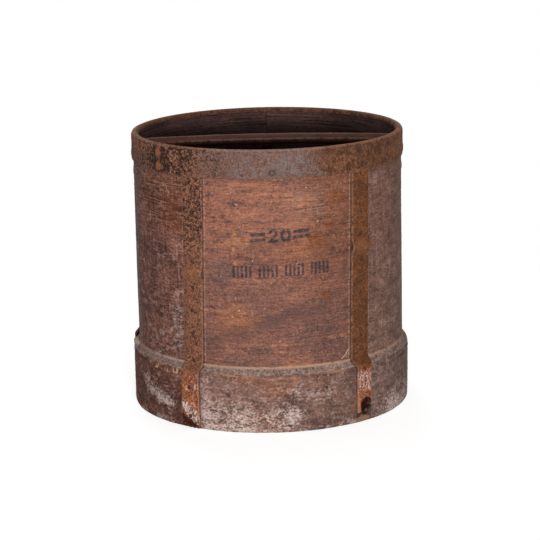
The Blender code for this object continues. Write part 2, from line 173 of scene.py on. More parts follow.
def lumps(across, along, seed):
    """Smooth noise from -1 to 1, with one lump to each unit of the two coordinates."""
    knots = np.random.default_rng(seed).uniform(-1.0, 1.0, (LATTICE, LATTICE))
    across, along = np.broadcast_arrays(across, along)
    column = np.floor(across).astype(int)
    row = np.floor(along).astype(int)
    right = across - column
    up = along - row
    right = right * right * (3 - 2 * right)
    up = up * up * (3 - 2 * up)

    def knot(step, rise):
        return knots[(column + step) % LATTICE, (row + rise) % LATTICE]

    low = knot(0, 0) * (1 - right) + knot(1, 0) * right
    high = knot(0, 1) * (1 - right) + knot(1, 1) * right
    return low * (1 - up) + high * up


def crust(across, along, seed):
    """Lumps with two finer layers of lumps on them, from about -1 to 1."""
    total = 0.0
    for layer in range(3):
        finer = 2 ** layer
        total = total + lumps(across * finer, along * finer, seed + layer) / finer
    return total / 1.5


def ease(start, end, value):
    """Smooth step from 0 at start to 1 at end."""
    share = np.clip((value - start) / (end - start), 0.0, 1.0)
    return share * share * (3 - 2 * share)


def dimple(across, along, wide, tall):
    """Round hump of height 1 at the origin."""
    return np.exp(-(across / wide) ** 2 - (along / tall) ** 2)


def turn_from(azimuth, centre):
    """Azimuth counted from a centre, between -180 and 180."""
    return (azimuth - centre + 180.0) % 360.0 - 180.0


def place(radius, azimuth, height):
    """Points at radii, azimuths and heights."""
    turn = np.radians(azimuth)
    parts = np.broadcast_arrays(radius * np.sin(turn), -radius * np.cos(turn), height)
    return np.stack(parts, axis=-1)


def skin(outlines):
    """Points and faces of a body through outlines that have the same number of points."""
    rows, count = outlines.shape[:2]
    index = np.arange(rows * count).reshape(rows, count)
    ends = [index[0][::-1].tolist(), index[-1].tolist()]
    here = index[:-1]
    there = index[1:]
    quads = np.stack([here, np.roll(here, -1, 1), np.roll(there, -1, 1), there], axis=-1)
    return outlines.reshape(-1, 3), quads.reshape(-1, 4).tolist() + ends


def volume(points, faces):
    """Volume that the faces enclose, negative where they point inwards."""
    fans = np.array([(face[0], face[k], face[k + 1]) for face in faces for k in range(1, len(face) - 1)])
    first, second, third = (points[fans[:, k]] for k in range(3))
    return np.einsum("ij,ij->", first, np.cross(second, third)) / 6


def mesh_of(name, bodies, sharp):
    """One smooth-shaded mesh from bodies of points and faces, each turned to face out."""
    points = []
    faces = []
    start = 0
    for body_points, body_faces in bodies:
        if volume(body_points, body_faces) < 0:
            body_faces = [face[::-1] for face in body_faces]
        points.append(body_points)
        faces.extend([[corner + start for corner in face] for face in body_faces])
        start += len(body_points)
    mesh = bpy.data.meshes.new(name)
    mesh.from_pydata(np.concatenate(points).tolist(), [], faces)
    mesh.shade_smooth()
    mesh.set_sharp_from_angle(angle=math.radians(sharp))
    return mesh


def add_piece(name, mesh, slot, *nodes):
    """A finished piece that rides on the tub and stands for CAD nodes."""
    piece = bpy.data.objects.new(name, mesh)
    bpy.context.scene.collection.objects.link(piece)
    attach(piece, "root")
    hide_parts(*nodes)


def add_bodies(name, bodies, material, slot, node, sharp=38.0):
    """A finished piece made of bodies of points and faces."""
    mesh = mesh_of(name, bodies, sharp)
    mesh.materials.append(material)
    add_piece(name, mesh, slot, node)


# Node trees written as Python expressions
class Value:
    """One output of a node tree; an expression on values adds its Math nodes."""

    def __init__(self, paint, socket):
        self.paint = paint
        self.socket = socket

    def math(self, operation, *others):
        values = dict(enumerate((self,) + others))
        return self.paint.node("ShaderNodeMath", {"operation": operation}, values)

    def reflected(self, operation, other):
        return self.paint.node("ShaderNodeMath", {"operation": operation}, {0: other, 1: self})

    def __add__(self, other):
        return self.math("ADD", other)

    def __radd__(self, other):
        return self.reflected("ADD", other)

    def __sub__(self, other):
        return self.math("SUBTRACT", other)

    def __rsub__(self, other):
        return self.reflected("SUBTRACT", other)

    def __mul__(self, other):
        return self.math("MULTIPLY", other)

    def __rmul__(self, other):
        return self.reflected("MULTIPLY", other)

    def __truediv__(self, other):
        return self.math("DIVIDE", other)

    def __rtruediv__(self, other):
        return self.reflected("DIVIDE", other)

    def __pow__(self, other):
        return self.math("POWER", other)

    def __neg__(self):
        return self.reflected("SUBTRACT", 0.0)

    def __abs__(self):
        return self.math("ABSOLUTE")

    def least(self, other):
        return self.math("MINIMUM", other)

    def most(self, other):
        return self.math("MAXIMUM", other)


def strongest(*masks):
    """The strongest of several masks at each place."""
    return reduce(Value.most, masks)


class Paint:
    """A node tree and the few ways in which nodes are added to it."""

    def __init__(self, tree):
        self.tree = tree

    def node(self, kind, settings=None, values=None, output=0):
        """Add a node: its settings first, then its sockets' values or links. Gives one of its outputs."""
        made = self.tree.nodes.new(kind)
        for name, setting in (settings or {}).items():
            setattr(made, name, setting)
        for key, value in (values or {}).items():
            socket = made.inputs[key]
            if isinstance(value, Value):
                self.tree.links.new(value.socket, socket)
            elif socket.type == "RGBA" and len(value) == 3:
                socket.default_value = (*value, 1.0)
            else:
                socket.default_value = value
        return Value(self, made.outputs[output])

    def ramp(self, value, start, end):
        """Smooth step from 0 at start to 1 at end, which may run downwards."""
        return self.node("ShaderNodeMapRange", {"interpolation_type": "SMOOTHSTEP"},
                         {"Value": value, "From Min": start, "From Max": end})

    def vector(self, x, y, z):
        """A vector from three numbers or values."""
        return self.node("ShaderNodeCombineXYZ", None, {0: x, 1: y, 2: z})

    def parts(self, vector):
        """The three numbers of a vector."""
        split = self.node("ShaderNodeSeparateXYZ", None, {0: vector}).socket.node
        return [Value(self, split.outputs[axis]) for axis in "XYZ"]

    def noise(self, where, scale=1.0, detail=2.0, rough=0.5, distortion=0.0, seed=None):
        """Cloudy noise from 0 to 1."""
        values = {"Vector": where, "Scale": scale, "Detail": detail, "Roughness": rough,
                  "Distortion": distortion}
        if seed is None:
            return self.node("ShaderNodeTexNoise", None, values)
        return self.node("ShaderNodeTexNoise", {"noise_dimensions": "4D"}, {**values, "W": seed})

    def mix(self, factor, below, above):
        """One colour laid over another."""
        return self.node("ShaderNodeMix", {"data_type": "RGBA"}, {0: factor, 6: below, 7: above}, output=2)

    def shade(self, colour, amount):
        """A colour made darker or lighter by an amount."""
        return self.node("ShaderNodeVectorMath", {"operation": "SCALE"}, {0: colour, "Scale": amount})


class Finish(Paint):
    """A material of the tub, with its place on the tub as values."""

    def __init__(self, name, specular):
        self.material = bpy.data.materials.new(name)
        self.material.use_nodes = True
        super().__init__(self.material.node_tree)
        self.shader = self.tree.nodes["Principled BSDF"]
        self.shader.inputs["Specular IOR Level"].default_value = specular
        self.where = self.node("ShaderNodeTexCoord", None, None, "Object")
        self.x, self.y, self.height = self.parts(self.where)
        turn = self.x.math("ARCTAN2", -self.y)
        self.azimuth = turn * math.degrees(1.0)
        self.arc = turn * WALL_OUT
        self.radius = (self.x * self.x + self.y * self.y).math("SQRT")
        self.tone = None

    def coat(self, mask, colour):
        """Lay a colour over the tone so far, where the mask says."""
        self.tone = self.mix(mask, self.tone, colour)

    def dim(self, amount):
        """Darken or lighten the tone so far."""
        self.tone = self.shade(self.tone, amount)

    def grain(self, along, up, detail=3.0, rough=0.55, distortion=0.0):
        """Noise drawn out round the tub: lumps per metre along the arc and up the side."""
        through = 60.0
        where = self.vector(self.arc * along, self.radius * through, self.height * up)
        return self.noise(where, 1.0, detail, rough, distortion)

    def rust(self, scale, detail=3.0, rough=0.55, distortion=0.0):
        """Noise with the same grain in every direction, in lumps per metre."""
        return self.noise(self.where, scale, detail, rough, distortion)

    def by_azimuth(self, start, end):
        """Smooth step from one azimuth to another."""
        return self.ramp(self.azimuth, start, end)

    def by_height(self, start, end):
        """Smooth step from one height to another."""
        return self.ramp(self.height, start, end)

    def sector(self, start, end, soft):
        """Mask between two azimuths."""
        return self.by_azimuth(start - soft, start + soft) * self.by_azimuth(end + soft, end - soft)

    def level(self, low, high, soft):
        """Mask between two heights."""
        return self.by_height(low - soft, low + soft) * self.by_height(high + soft, high - soft)

    def reach(self, azimuth, height, stretch=1.0):
        """Distance on the wall from a point."""
        across = (self.azimuth - azimuth) * (math.radians(1.0) * WALL_OUT / stretch)
        up = self.height - height
        return (across * across + up * up).math("SQRT")

    def spot(self, azimuth, height, size, stretch=1.0, ragged=None):
        """Mask of a round spot, with a ragged edge where a noise is given."""
        away = self.reach(azimuth, height, stretch)
        if ragged is not None:
            away = away + (ragged - 0.5) * (size * 2.4)
        return self.ramp(away, size, size * 0.45)

    def pit_reach(self, ragged, amount):
        """Distance from the middle of the rotted pit, with a ragged edge."""
        centre = STRAP_AZIMUTH["front_right"] + PIT_ASIDE
        return self.reach(centre, PIT_LEVEL, PIT_STRETCH) + (ragged - 0.5) * amount

    def strap_gap(self):
        """Distance on the wall from the nearest strap's edge, below 0 under the strap."""
        lean = ((self.height - LEAN_LEVEL) * LEAN_RATE).most(-LEAN_MOST).least(LEAN_MOST)
        upright = self.azimuth - lean
        on_hoop = self.by_height(HOOP_TOP, HOOP_TOP - ON_HOOP)
        gaps = []
        for strap, turns in [(strap, 0.0) for strap in STRAPS] + [("back", 360.0)]:
            centre = STRAP_AZIMUTH[strap] + turns + on_hoop * FOOT_SHIFT.get(strap, 0.0)
            half = STRAP_TURN - on_hoop * (STRAP_TURN * FOOT_NARROW.get(strap, 0.0))
            gaps.append(abs(upright - centre) - half)
        return reduce(Value.least, gaps) * (math.radians(1.0) * WALL_OUT)

    def done(self, roughness, relief, depth, strength, metallic=None):
        """Link the finished tone, roughness and relief to the shader."""
        bump = self.node("ShaderNodeBump", None,
                         {"Strength": strength, "Distance": depth, "Height": relief})
        links = {"Base Color": self.tone, "Roughness": roughness, "Normal": bump}
        if metallic is not None:
            links["Metallic"] = metallic
        for name, value in links.items():
            self.tree.links.new(value.socket, self.shader.inputs[name])
        return self.material


# Bent strips, with one end under the lap and the other over it
UNDER = 0
FREE = 1
OVER = 2


def bent_columns(lap_columns, free_columns):
    """Turns from a strip's seam, doubled where its lap steps, and the part that each lies in."""
    whole = 360.0
    turns = np.concatenate([
        np.linspace(0.0, LAP_TURN, lap_columns),
        np.linspace(LAP_TURN, whole, free_columns),
        np.linspace(whole, whole + LAP_TURN, lap_columns),
    ])
    parts = np.repeat([UNDER, FREE, OVER], [lap_columns, free_columns, lap_columns])
    return turns, parts


def lapped_radii(turns, parts, inner, outer):
    """Inner and outer radius of a bent strip whose tapered ends lap."""
    reach = outer - inner - 2 * LAP_TIP - CLEARANCE
    under = inner + LAP_TIP + reach * turns / LAP_TURN
    over = inner + LAP_TIP + CLEARANCE + reach * (turns - 360.0) / LAP_TURN
    return np.where(parts == OVER, over, inner), np.where(parts == UNDER, under, outer)


def make_side_wall(material):
    """Side wall: fine ridges of raised grain outside, coarser tool lines inside."""
    ridge_low = 0.067
    ridge_high = 0.284
    ridge_row = 0.0005
    most_out = 0.00022
    seen_inside = 0.225
    turns, parts = bent_columns(lap_columns=8, free_columns=150)
    inside, outside = lapped_radii(turns, parts, WALL_IN, WALL_OUT)
    azimuth = (WALL_SEAM + turns)[:, None]
    arc = np.radians(turns)[:, None] * WALL_OUT
    rise = np.concatenate([
        np.linspace(0.0, ridge_low, 12)[:-1],
        np.arange(ridge_low, ridge_high, ridge_row),
        np.linspace(ridge_high, WALL_TOP, 8),
    ])[None, :]
    side = ease(20.0, 75.0, np.abs(turn_from(azimuth, 0.0))) * ease(0.10, 0.26, rise)
    ridges = lumps(arc / 0.070, rise / 0.0011, 11) * (0.00006 + 0.00016 * side)
    weathering = lumps(arc / 0.022, rise / 0.0042, 12) * 0.00007
    warp = lumps(arc / 0.085, rise / 0.075, 13) * 0.00028 - 0.00010
    relief = np.minimum(ridges + weathering + warp, most_out) * (parts != UNDER)[:, None]
    outer_face = place(outside[:, None] + relief, azimuth, rise)
    fall = np.concatenate([
        np.linspace(WALL_TOP, seen_inside, 100),
        np.linspace(seen_inside, 0.0, 40)[1:],
    ])[None, :]
    hollow = np.abs(lumps(arc / 0.090, fall / 0.0019, 14)) * 0.00022
    inner_face = place(inside[:, None] + hollow, azimuth, fall)
    body = skin(np.concatenate([outer_face, inner_face], axis=1))
    add_bodies("bent_side_wall", [body], material, "bent_wood", "side_wall")


def make_foot_hoop(material):
    """Foot hoop: a chamfered strip with a worn, chipped arris and a rotted pit at the front right."""
    pit_depth = 0.0030
    heap_half = 0.0115
    heap_out = 0.0016
    heap_rise = 0.0054
    turns, parts = bent_columns(lap_columns=10, free_columns=420)
    inside, outside = lapped_radii(turns, parts, HOOP_IN, HOOP_OUT)
    inside = inside[:, None]
    outside = outside[:, None]
    azimuth = (HOOP_SEAM + turns)[:, None]
    arc = np.radians(turns)[:, None] * HOOP_OUT
    slope = (HOOP_TOP - CHAMFER_LOW) / (HOOP_OUT - HOOP_IN)
    arris = CHAMFER_LOW + (HOOP_OUT - outside) * slope
    crest = CHAMFER_LOW + (HOOP_OUT - inside) * slope

    # Outer face, with a pit, an uneven foot and an arris that is chipped most on the left
    left = ease(-66.0, -58.0, turn_from(azimuth, 0.0)) * ease(-37.0, -41.0, turn_from(azimuth, 0.0))
    chips = ease(0.25, 0.75, lumps(arc / 0.0050, 0.5, 21)) * (0.0004 + 0.0009 * left)
    wear = 0.00045 + 0.0003 * lumps(arc / 0.030, 0.5, 22) + chips
    share = np.linspace(0.0, 1.0, 112)[None, :] ** 0.92
    rise = share * arris
    worn = wear * np.exp(-((arris - rise) / 0.0016) ** 2)
    foot = 0.0009 * (1 + 0.6 * lumps(arc / 0.012, 0.5, 23)) * np.clip(1 - rise / 0.0022, 0, 1) ** 2
    grain = lumps(arc / 0.055, rise / 0.0014, 24) * 0.00012
    weathering = crust(arc / 0.012, rise / 0.006, 25) * 0.00016
    warp = lumps(arc / 0.080, rise / 0.040, 28) * 0.00040
    pit_across = np.radians(turn_from(azimuth, STRAP_AZIMUTH["front_right"] + PIT_ASIDE)) * HOOP_OUT
    pit = pit_depth * dimple(pit_across, rise - PIT_LEVEL, PIT_REACH * PIT_STRETCH, PIT_REACH)
    face = (grain + weathering + warp) * (parts != UNDER)[:, None] - 0.0002
    outer_face = place(outside + face - worn - foot - pit, azimuth, rise)

    # Chamfer, with dust and a heap of it
    across = np.linspace(0.0, 1.0, 20)[None, 1:]
    length = np.hypot(outside - inside, crest - arris)
    worn = wear * np.exp(-(across * length / 0.0014) ** 2)
    dust = crust(arc / 0.006, across * length / 0.003, 26) * 0.00018
    chamfer_radius = outside + (inside - outside) * across + (face[:, -1:] - 0.6 * worn) * (1 - across)
    chamfer_height = arris + (crest - arris) * across - 0.6 * worn + dust
    heap_across = np.radians(turn_from(azimuth, HEAP_AZIMUTH)) * HOOP_OUT
    heap = dimple(heap_across, 0.0, heap_half, 1.0) * np.sin(math.pi * across ** 0.7)
    chamfer = place(chamfer_radius + heap * heap_out, azimuth, chamfer_height + heap * heap_rise)
    fall = np.linspace(0.9, 0.0, 8)[None, :]
    inner_face = place(inside, azimuth, fall * crest)
    body = skin(np.concatenate([outer_face, chamfer, inner_face], axis=1))
    add_bodies("chamfered_foot_hoop", [body], material, "hoop_wood", "foot_hoop")


# Straps
def strap_line(strap):
    """Radius and height along the back of a strap with rounded bends, lengths along it and its normals."""
    seat = WALL_OUT + CLEARANCE
    shin = HOOP_OUT + CLEARANCE
    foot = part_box("strap_" + strap)[0].z
    buckle = buckle_of(strap)
    is_loose = strap == "back_left"
    loose = LOOSE_STEP if is_loose else 0.0
    crest = BUCKLE_HEIGHT * (0.30 if is_loose else 1.12)
    corners = np.array([
        (shin, foot), (shin, CHAMFER_LOW + 0.0002 + loose * 0.9), (seat, HOOP_TOP + 0.0006 + loose),
        (seat, buckle - BUCKLE_LENGTH * 0.46), (seat + crest, buckle - BUCKLE_LENGTH * 0.06),
        (seat, buckle + BUCKLE_LENGTH * 0.50), (seat, STRAP_TOP),
    ])
    lengths = np.hypot(*np.diff(corners, axis=0).T)
    along = np.concatenate([[0.0], np.cumsum(lengths)])
    even = np.linspace(0.0, along[-1], int(along[-1] / STRAP_CELL))
    line = np.stack([np.interp(even, along, corners[:, k]) for k in range(2)], axis=1)
    reach = 2
    padded = np.pad(line, ((reach, reach), (0, 0)), mode="reflect", reflect_type="odd")
    window = 2 * reach + 1
    line = sum(padded[k:k + len(line)] for k in range(window)) / window
    slope = np.gradient(line, axis=0)
    normal = np.stack([slope[:, 1], -slope[:, 0]], axis=1) / np.hypot(*slope.T)[:, None]
    return line, even, normal


def strap_face(strap):
    """Radius of a strap's front at a height, for what sits on it."""
    line, _, normal = strap_line(strap)
    front = line + normal * STRAP_THICK
    return lambda height: float(np.interp(height, front[:, 1], front[:, 0]))


def sheet_of_cells(front, back, keep):
    """Closed plate from two grids of points, with walls wherever a kept cell has no neighbour."""
    rows, columns = front.shape[:2]
    count = rows * columns
    index = np.arange(count).reshape(rows, columns)
    corners = (index[:-1, :-1], index[:-1, 1:], index[1:, 1:], index[1:, :-1])
    faces = [np.stack([corner[keep] for corner in corners], axis=-1)]
    faces.append(faces[0][:, ::-1] + count)
    walled = np.pad(keep, 1)
    beside = (walled[:-2, 1:-1], walled[1:-1, 2:], walled[2:, 1:-1], walled[1:-1, :-2])
    for side in range(4):
        bare = keep & ~beside[side]
        start = corners[side][bare]
        end = corners[(side + 1) % 4][bare]
        faces.append(np.stack([end, start, start + count, end + count], axis=-1))
    faces = np.concatenate(faces)
    points = np.concatenate([front.reshape(-1, 3), back.reshape(-1, 3)])
    used = np.unique(faces)
    renumber = np.zeros(len(points), int)
    renumber[used] = np.arange(len(used))
    return points[used], renumber[faces].tolist()


def make_strap(strap, seed, material):
    """Strap: strip iron bent over the hoop, buckled off the wall, its foot eaten by rust."""
    node = "strap_" + strap
    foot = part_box(node)[0].z
    ragged = RAGGED_FEET[strap]
    line, along, normal = strap_line(strap)
    across = np.linspace(-1.0, 1.0, STRAP_COLUMNS + 1)[None, :]
    along = along[:, None]
    height = line[:, 1:2]
    low = ease(0.075, 0.050, height)
    sway = np.where(across < 0, lumps(along / 0.014, 0.5, seed), lumps(along / 0.014, 7.5, seed))
    width = 1 + (0.014 + 0.020 * low) * sway * np.abs(across)
    on_hoop = ease(HOOP_TOP, HOOP_TOP - ON_HOOP, height)
    width = width * (1 - FOOT_NARROW.get(strap, 0.0) * on_hoop)
    centre = STRAP_AZIMUTH[strap] + strap_lean(height) + FOOT_SHIFT.get(strap, 0.0) * on_hoop
    turn = centre + across * STRAP_TURN * width

    # Pitted, flaking front
    spread = across * STRAP_HALF
    pits = crust(along / 0.0036, spread / 0.0036, seed + 1) * (0.00012 + 0.00016 * low)
    flakes = ease(0.10, 0.22, crust(along / 0.012, spread / 0.010, seed + 5)) * 0.00045 * low
    bend = lumps(along / 0.035, spread / 0.050, seed + 9) * 0.00025
    border = STRAP_HALF * (1 - np.abs(across))
    rolled = 0.00055 * np.clip(1 - border / 0.0012, 0, 1)
    thick = STRAP_THICK + pits + bend - flakes - rolled
    front = place(line[:, :1] + normal[:, :1] * thick, turn, height + normal[:, 1:] * thick)
    back = place(line[:, :1] + 0 * across, turn, height + 0 * across)

    def middle(grid):
        grid = np.broadcast_to(grid, (len(line), STRAP_COLUMNS + 1))
        return (grid[:-1, :-1] + grid[1:, :-1] + grid[:-1, 1:] + grid[1:, 1:]) / 4

    # Cells that rust has left at the foot
    level = middle(height)
    sideways = middle(spread)
    fringe = 0.5 + 0.5 * crust(sideways / 0.0055, level / 0.03, seed + 13)
    keep = level > foot + ragged * fringe
    nibbled = crust(level / 0.0035, sideways / 0.0035, seed + 17) > 0.42
    keep &= ~(nibbled & (level < foot + 0.0075) & (ragged > 0.002))
    if strap == "front_right":
        aside = np.radians(middle(turn) - STRAP_AZIMUTH[strap] - PIT_ASIDE) * WALL_OUT / PIT_STRETCH
        torn = np.hypot(aside, level - PIT_LEVEL) / PIT_REACH
        keep &= torn + 0.22 * crust(level / 0.004, sideways / 0.004, seed + 21) > 0.96
        keep &= level > foot + 0.0024 + 0.0024 * fringe
    body = sheet_of_cells(front, back, keep)
    add_bodies("rusted_strap_" + strap, [body], material, "strap_iron", node, sharp=50.0)


# Crossbar, rod and base
def rounded_outline(half_width, tall, radius, across_steps):
    """Section of a bar with rounded corners: offsets across and up."""
    turn = np.linspace(0.0, math.pi / 2, 5)
    flat = np.linspace(-1.0, 1.0, across_steps)[1:-1]
    span = half_width - radius
    high = tall - radius
    right_high = [(span + radius * math.cos(t), high + radius * math.sin(t)) for t in turn]
    left_high = [(-span - radius * math.sin(t), high + radius * math.cos(t)) for t in turn]
    left_low = [(-span - radius * math.cos(t), radius - radius * math.sin(t)) for t in turn]
    right_low = [(span + radius * math.sin(t), radius - radius * math.cos(t)) for t in turn]
    upper = [(-span * share, tall) for share in flat]
    lower = [(span * share, 0.0) for share in flat]
    return np.array(right_high + upper + left_high + left_low + lower + right_low)


def make_crossbar(material):
    """Crossbar: forged flat bar with eased arrises, bent down at both ends against the wall."""
    reach = WALL_IN - CLEARANCE
    outer_bend = 0.0050
    inner_bend = 0.0030
    arris = 0.0010
    turn = np.linspace(0.0, math.pi / 2, 8)
    shares = np.linspace(-1.0, 1.0, 90)[1:-1]

    def side(edge, level, bend):
        """Left end of one face of the bar, from the tab's foot to the end of its bend."""
        rise = np.linspace(BAR_LOW_END, level - bend, 10)[:-1]
        tab = np.stack([np.full_like(rise, -edge), rise], axis=1)
        corner = np.stack([-edge + bend * (1 - np.cos(turn)), level - bend * (1 - np.sin(turn))], axis=1)
        return np.concatenate([tab, corner])

    def face(edge, level, bend):
        """One whole face of the bar, seen from the front."""
        left = side(edge, level, bend)
        span = shares * (edge - bend)
        middle = np.stack([span, level + BAR_RISE * (1 - (span / reach) ** 2)], axis=1)
        right = left[::-1] * (-1.0, 1.0)
        return np.concatenate([left, middle, right])

    upper = face(reach, BAR_TOP, outer_bend)
    lower = face(BAR_TAB, BAR_LOW, inner_bend)
    length = np.hypot(*(upper - lower).T)
    outlines = []
    for station in range(len(upper)):
        section = rounded_outline(BAR_HALF, length[station], arris, across_steps=12)
        up = (upper[station] - lower[station]) / length[station]
        depth = section[:, 1:]
        at = lower[station] + up * depth
        outlines.append(np.stack([at[:, 0], section[:, 0], at[:, 1]], axis=1))
    outlines = np.array(outlines)
    forge = crust(outlines[..., 0] / 0.010, outlines[..., 1] / 0.008, 41) * 0.00022
    outlines[..., 2] += forge
    outlines[..., 1] *= 1 + 0.012 * lumps(outlines[..., 0] / 0.022, outlines[..., 2] / 0.05, 42)
    limit = np.sqrt(reach ** 2 - np.minimum(np.abs(outlines[..., 1]), BAR_HALF) ** 2)
    outlines[..., 0] = np.clip(outlines[..., 0], -limit, limit)
    add_bodies("forged_crossbar", [skin(outlines)], material, "bar_iron", "crossbar")


def turned(profile, sides, seed, unevenness, radius_at=None):
    """Body turned about the tub's axis, a little uneven."""
    turns = np.linspace(0.0, 360.0, sides, endpoint=False)[None, :]
    profile = np.array(profile)
    radius = profile[:, :1] * (radius_at(turns, profile[:, :1]) if radius_at else 1.0)
    height = profile[:, 1:] + 0 * turns
    wobble = lumps(turns / 18.0, height / 0.010, seed) * unevenness
    radius = np.maximum(radius + wobble * (profile[:, :1] > unevenness * 4), 0.0)
    outlines = place(radius, turns, height)
    return skin(outlines)


def mirrored(edge, node):
    """Profile as tall as a node, with the same edge below and above: radii and distances from the end."""
    low, high = levels_of(node)
    below = [(radius, low + inset) for radius, inset in edge]
    above = [(radius, high - inset) for radius, inset in reversed(edge)]
    return below + above


def bevelled(radius, bevel, node):
    """Profile of a disc with eased edges."""
    tip = radius - bevel
    near = bevel * 0.3
    edge = [(tip * 0.02, 0.0), (tip * 0.5, 0.0), (tip, 0.0), (radius - near, near), (radius, bevel)]
    return mirrored(edge, node)


def make_rod(bar_material, nut_material):
    """Centre rod between the crossbar and the base, with its foot plate, washer and nut."""
    rod = 0.0055
    tenon = 0.0040
    core = 0.0002
    rod_low, rod_high = levels_of("centre_rod")
    shoulder_low = levels_of("rod_foot_plate")[1] + CLEARANCE
    shoulder_high = BAR_LOW + BAR_RISE - CLEARANCE
    levels = np.linspace(shoulder_low + 0.001, shoulder_high - 0.001, 90)
    profile = [(core, rod_low), (tenon * 0.8, rod_low), (tenon, rod_low + 0.0006)]
    profile += [(tenon, shoulder_low), (rod * 0.94, shoulder_low)]
    profile += [(rod, level) for level in levels]
    profile += [(rod * 0.94, shoulder_high), (tenon, shoulder_high), (tenon, rod_high - 0.0008)]
    profile += [(tenon * 0.8, rod_high - 0.0001), (core, rod_high)]
    body = turned(profile, sides=32, seed=51, unevenness=0.00022)
    add_bodies("forged_centre_rod", [body], bar_material, "bar_iron", "centre_rod")

    plate = bevelled(radius=0.0230, bevel=0.0008, node="rod_foot_plate")
    body = turned(plate, sides=64, seed=52, unevenness=0.00045)
    add_bodies("forged_foot_plate", [body], bar_material, "bar_iron", "rod_foot_plate")
    washer = bevelled(radius=0.0110, bevel=0.0004, node="rod_washer")
    body = turned(washer, sides=48, seed=53, unevenness=0.00018)
    add_bodies("forged_washer", [body], nut_material, "nail_iron", "rod_washer")

    flat = 0.0075
    eye = 0.0042
    point = flat / math.cos(math.pi / 6)

    def hexagon(turns, radius):
        share = np.minimum(flat / np.cos(np.radians((turns + 30.0) % 60.0 - 30.0)) / point, 1.0)
        outside = radius > eye + 0.0003
        return share * outside + ~outside

    edge = [(core, 0.0), (eye, 0.0), (point * 0.93, 0.0), (point, 0.0007)]
    body = turned(mirrored(edge, "rod_nut"), sides=72, seed=54, unevenness=0.00006, radius_at=hexagon)
    add_bodies("forged_nut", [body], nut_material, "nail_iron", "rod_nut", sharp=25.0)


def make_planks(material):
    """Base planks with eased edges and raised grain, cut to the round of the wall."""
    radius = WALL_IN - CLEARANCE
    ease_edge = 0.0012
    edge_drop = 0.7
    inner_rows = 60
    for order, name in enumerate(("front_base_plank", "middle_base_plank", "back_base_plank")):
        low, high = (corner.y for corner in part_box(name))
        low += 0.0001
        rows = np.concatenate([
            [low, low + ease_edge * 0.3],
            np.linspace(low + ease_edge, high - ease_edge, inner_rows),
            [high - ease_edge * 0.3, high],
        ])
        rows = np.clip(rows, -radius + 0.0004, radius - 0.0004)
        sink = ease_edge * np.array([1.0, 0.3] + [0.0] * inner_rows + [0.3, 1.0]) * edge_drop
        across = np.linspace(-1.0, 1.0, 90)
        outlines = []
        for row, drop in zip(rows, sink):
            half = math.sqrt(radius ** 2 - row ** 2)
            x = across * half
            edge = ease_edge * np.clip(1 - (half - np.abs(x)) / ease_edge, 0, 1) ** 2 * edge_drop
            grain = lumps(x / 0.060, row / 0.0022, 61 + order) * 0.00018 - 0.0002
            top = BOARD_TOP - drop - edge + grain
            under = BOARD_LOW + drop + edge
            upper = np.stack([x, np.full_like(x, row), top], axis=1)
            lower = np.stack([x, np.full_like(x, row), under], axis=1)[::-3]
            outlines.append(np.concatenate([upper, lower]))
        add_bodies("sawn_" + name, [skin(np.array(outlines))], material, "base_wood", name)


# Geometry Nodes: what the trees share
def new_tree(name, source, inputs, result):
    """Tree with named inputs. Gives it, a way to add nodes, its inputs by name and its closing step."""
    tree = bpy.data.node_groups.new(name, "GeometryNodeTree")
    tree.interface.new_socket(source, in_out="INPUT", socket_type="NodeSocketGeometry")
    for label, kind in inputs:
        tree.interface.new_socket(label, in_out="INPUT", socket_type=kind)
    tree.interface.new_socket(result, in_out="OUTPUT", socket_type="NodeSocketGeometry")
    paint = Paint(tree)
    given = tree.nodes.new("NodeGroupInput")
    out = tree.nodes.new("NodeGroupOutput")

    def entry(label):
        return Value(paint, given.outputs[label])

    def close(geometry):
        solid = paint.node("GeometryNodeRealizeInstances", None, {"Geometry": geometry})
        smooth = paint.node("GeometryNodeSetShadeSmooth", None, {"Geometry": solid})
        coated = paint.node("GeometryNodeSetMaterial", None,
                            {"Geometry": smooth, "Material": entry("Finish")})
        tree.links.new(coated.socket, out.inputs[result])

    return tree, paint, entry, close


def plain_mesh(name, source_mesh, tree, settings):
    """Plain mesh that a tree makes from a source mesh."""
    source = bpy.data.objects.new(name + "_source", source_mesh)
    bpy.context.scene.collection.objects.link(source)
    modifier = source.modifiers.new(name, "NODES")
    modifier.node_group = tree
    for item in tree.interface.items_tree:
        if item.item_type == "SOCKET" and item.in_out == "INPUT" and item.name in settings:
            modifier[item.identifier] = settings[item.name]
    evaluated = source.evaluated_get(bpy.context.evaluated_depsgraph_get())
    made = bpy.data.meshes.new_from_object(evaluated)
    source.modifiers.remove(modifier)
    bpy.data.objects.remove(source)
    made.name = name
    return made


# Rim band
RIM_INPUTS = (("Columns", "NodeSocketInt"), ("Rows", "NodeSocketInt"), ("Bulge", "NodeSocketFloat"),
              ("Dent depth", "NodeSocketFloat"), ("Crust depth", "NodeSocketFloat"),
              ("Edge wave", "NodeSocketFloat"), ("Seed", "NodeSocketFloat"),
              ("Finish", "NodeSocketMaterial"))
RIM_ROUND = (RIM_OUT - LIP_IN) / 2
RIM_SPRING = HEIGHT - RIM_ROUND

# Dents and lumps of the band: azimuth, height, width and how far they stand out
RIM_MARKS = ((-25.7, 0.2900, 0.0036, 0.0011), (-10.5, 0.2854, 0.0024, -0.0013),
             (28.0, 0.2960, 0.0050, -0.0006), (-63.0, 0.2890, 0.0045, -0.0007),
             (128.0, 0.2930, 0.0060, -0.0009), (-140.0, 0.2980, 0.0050, -0.0008))


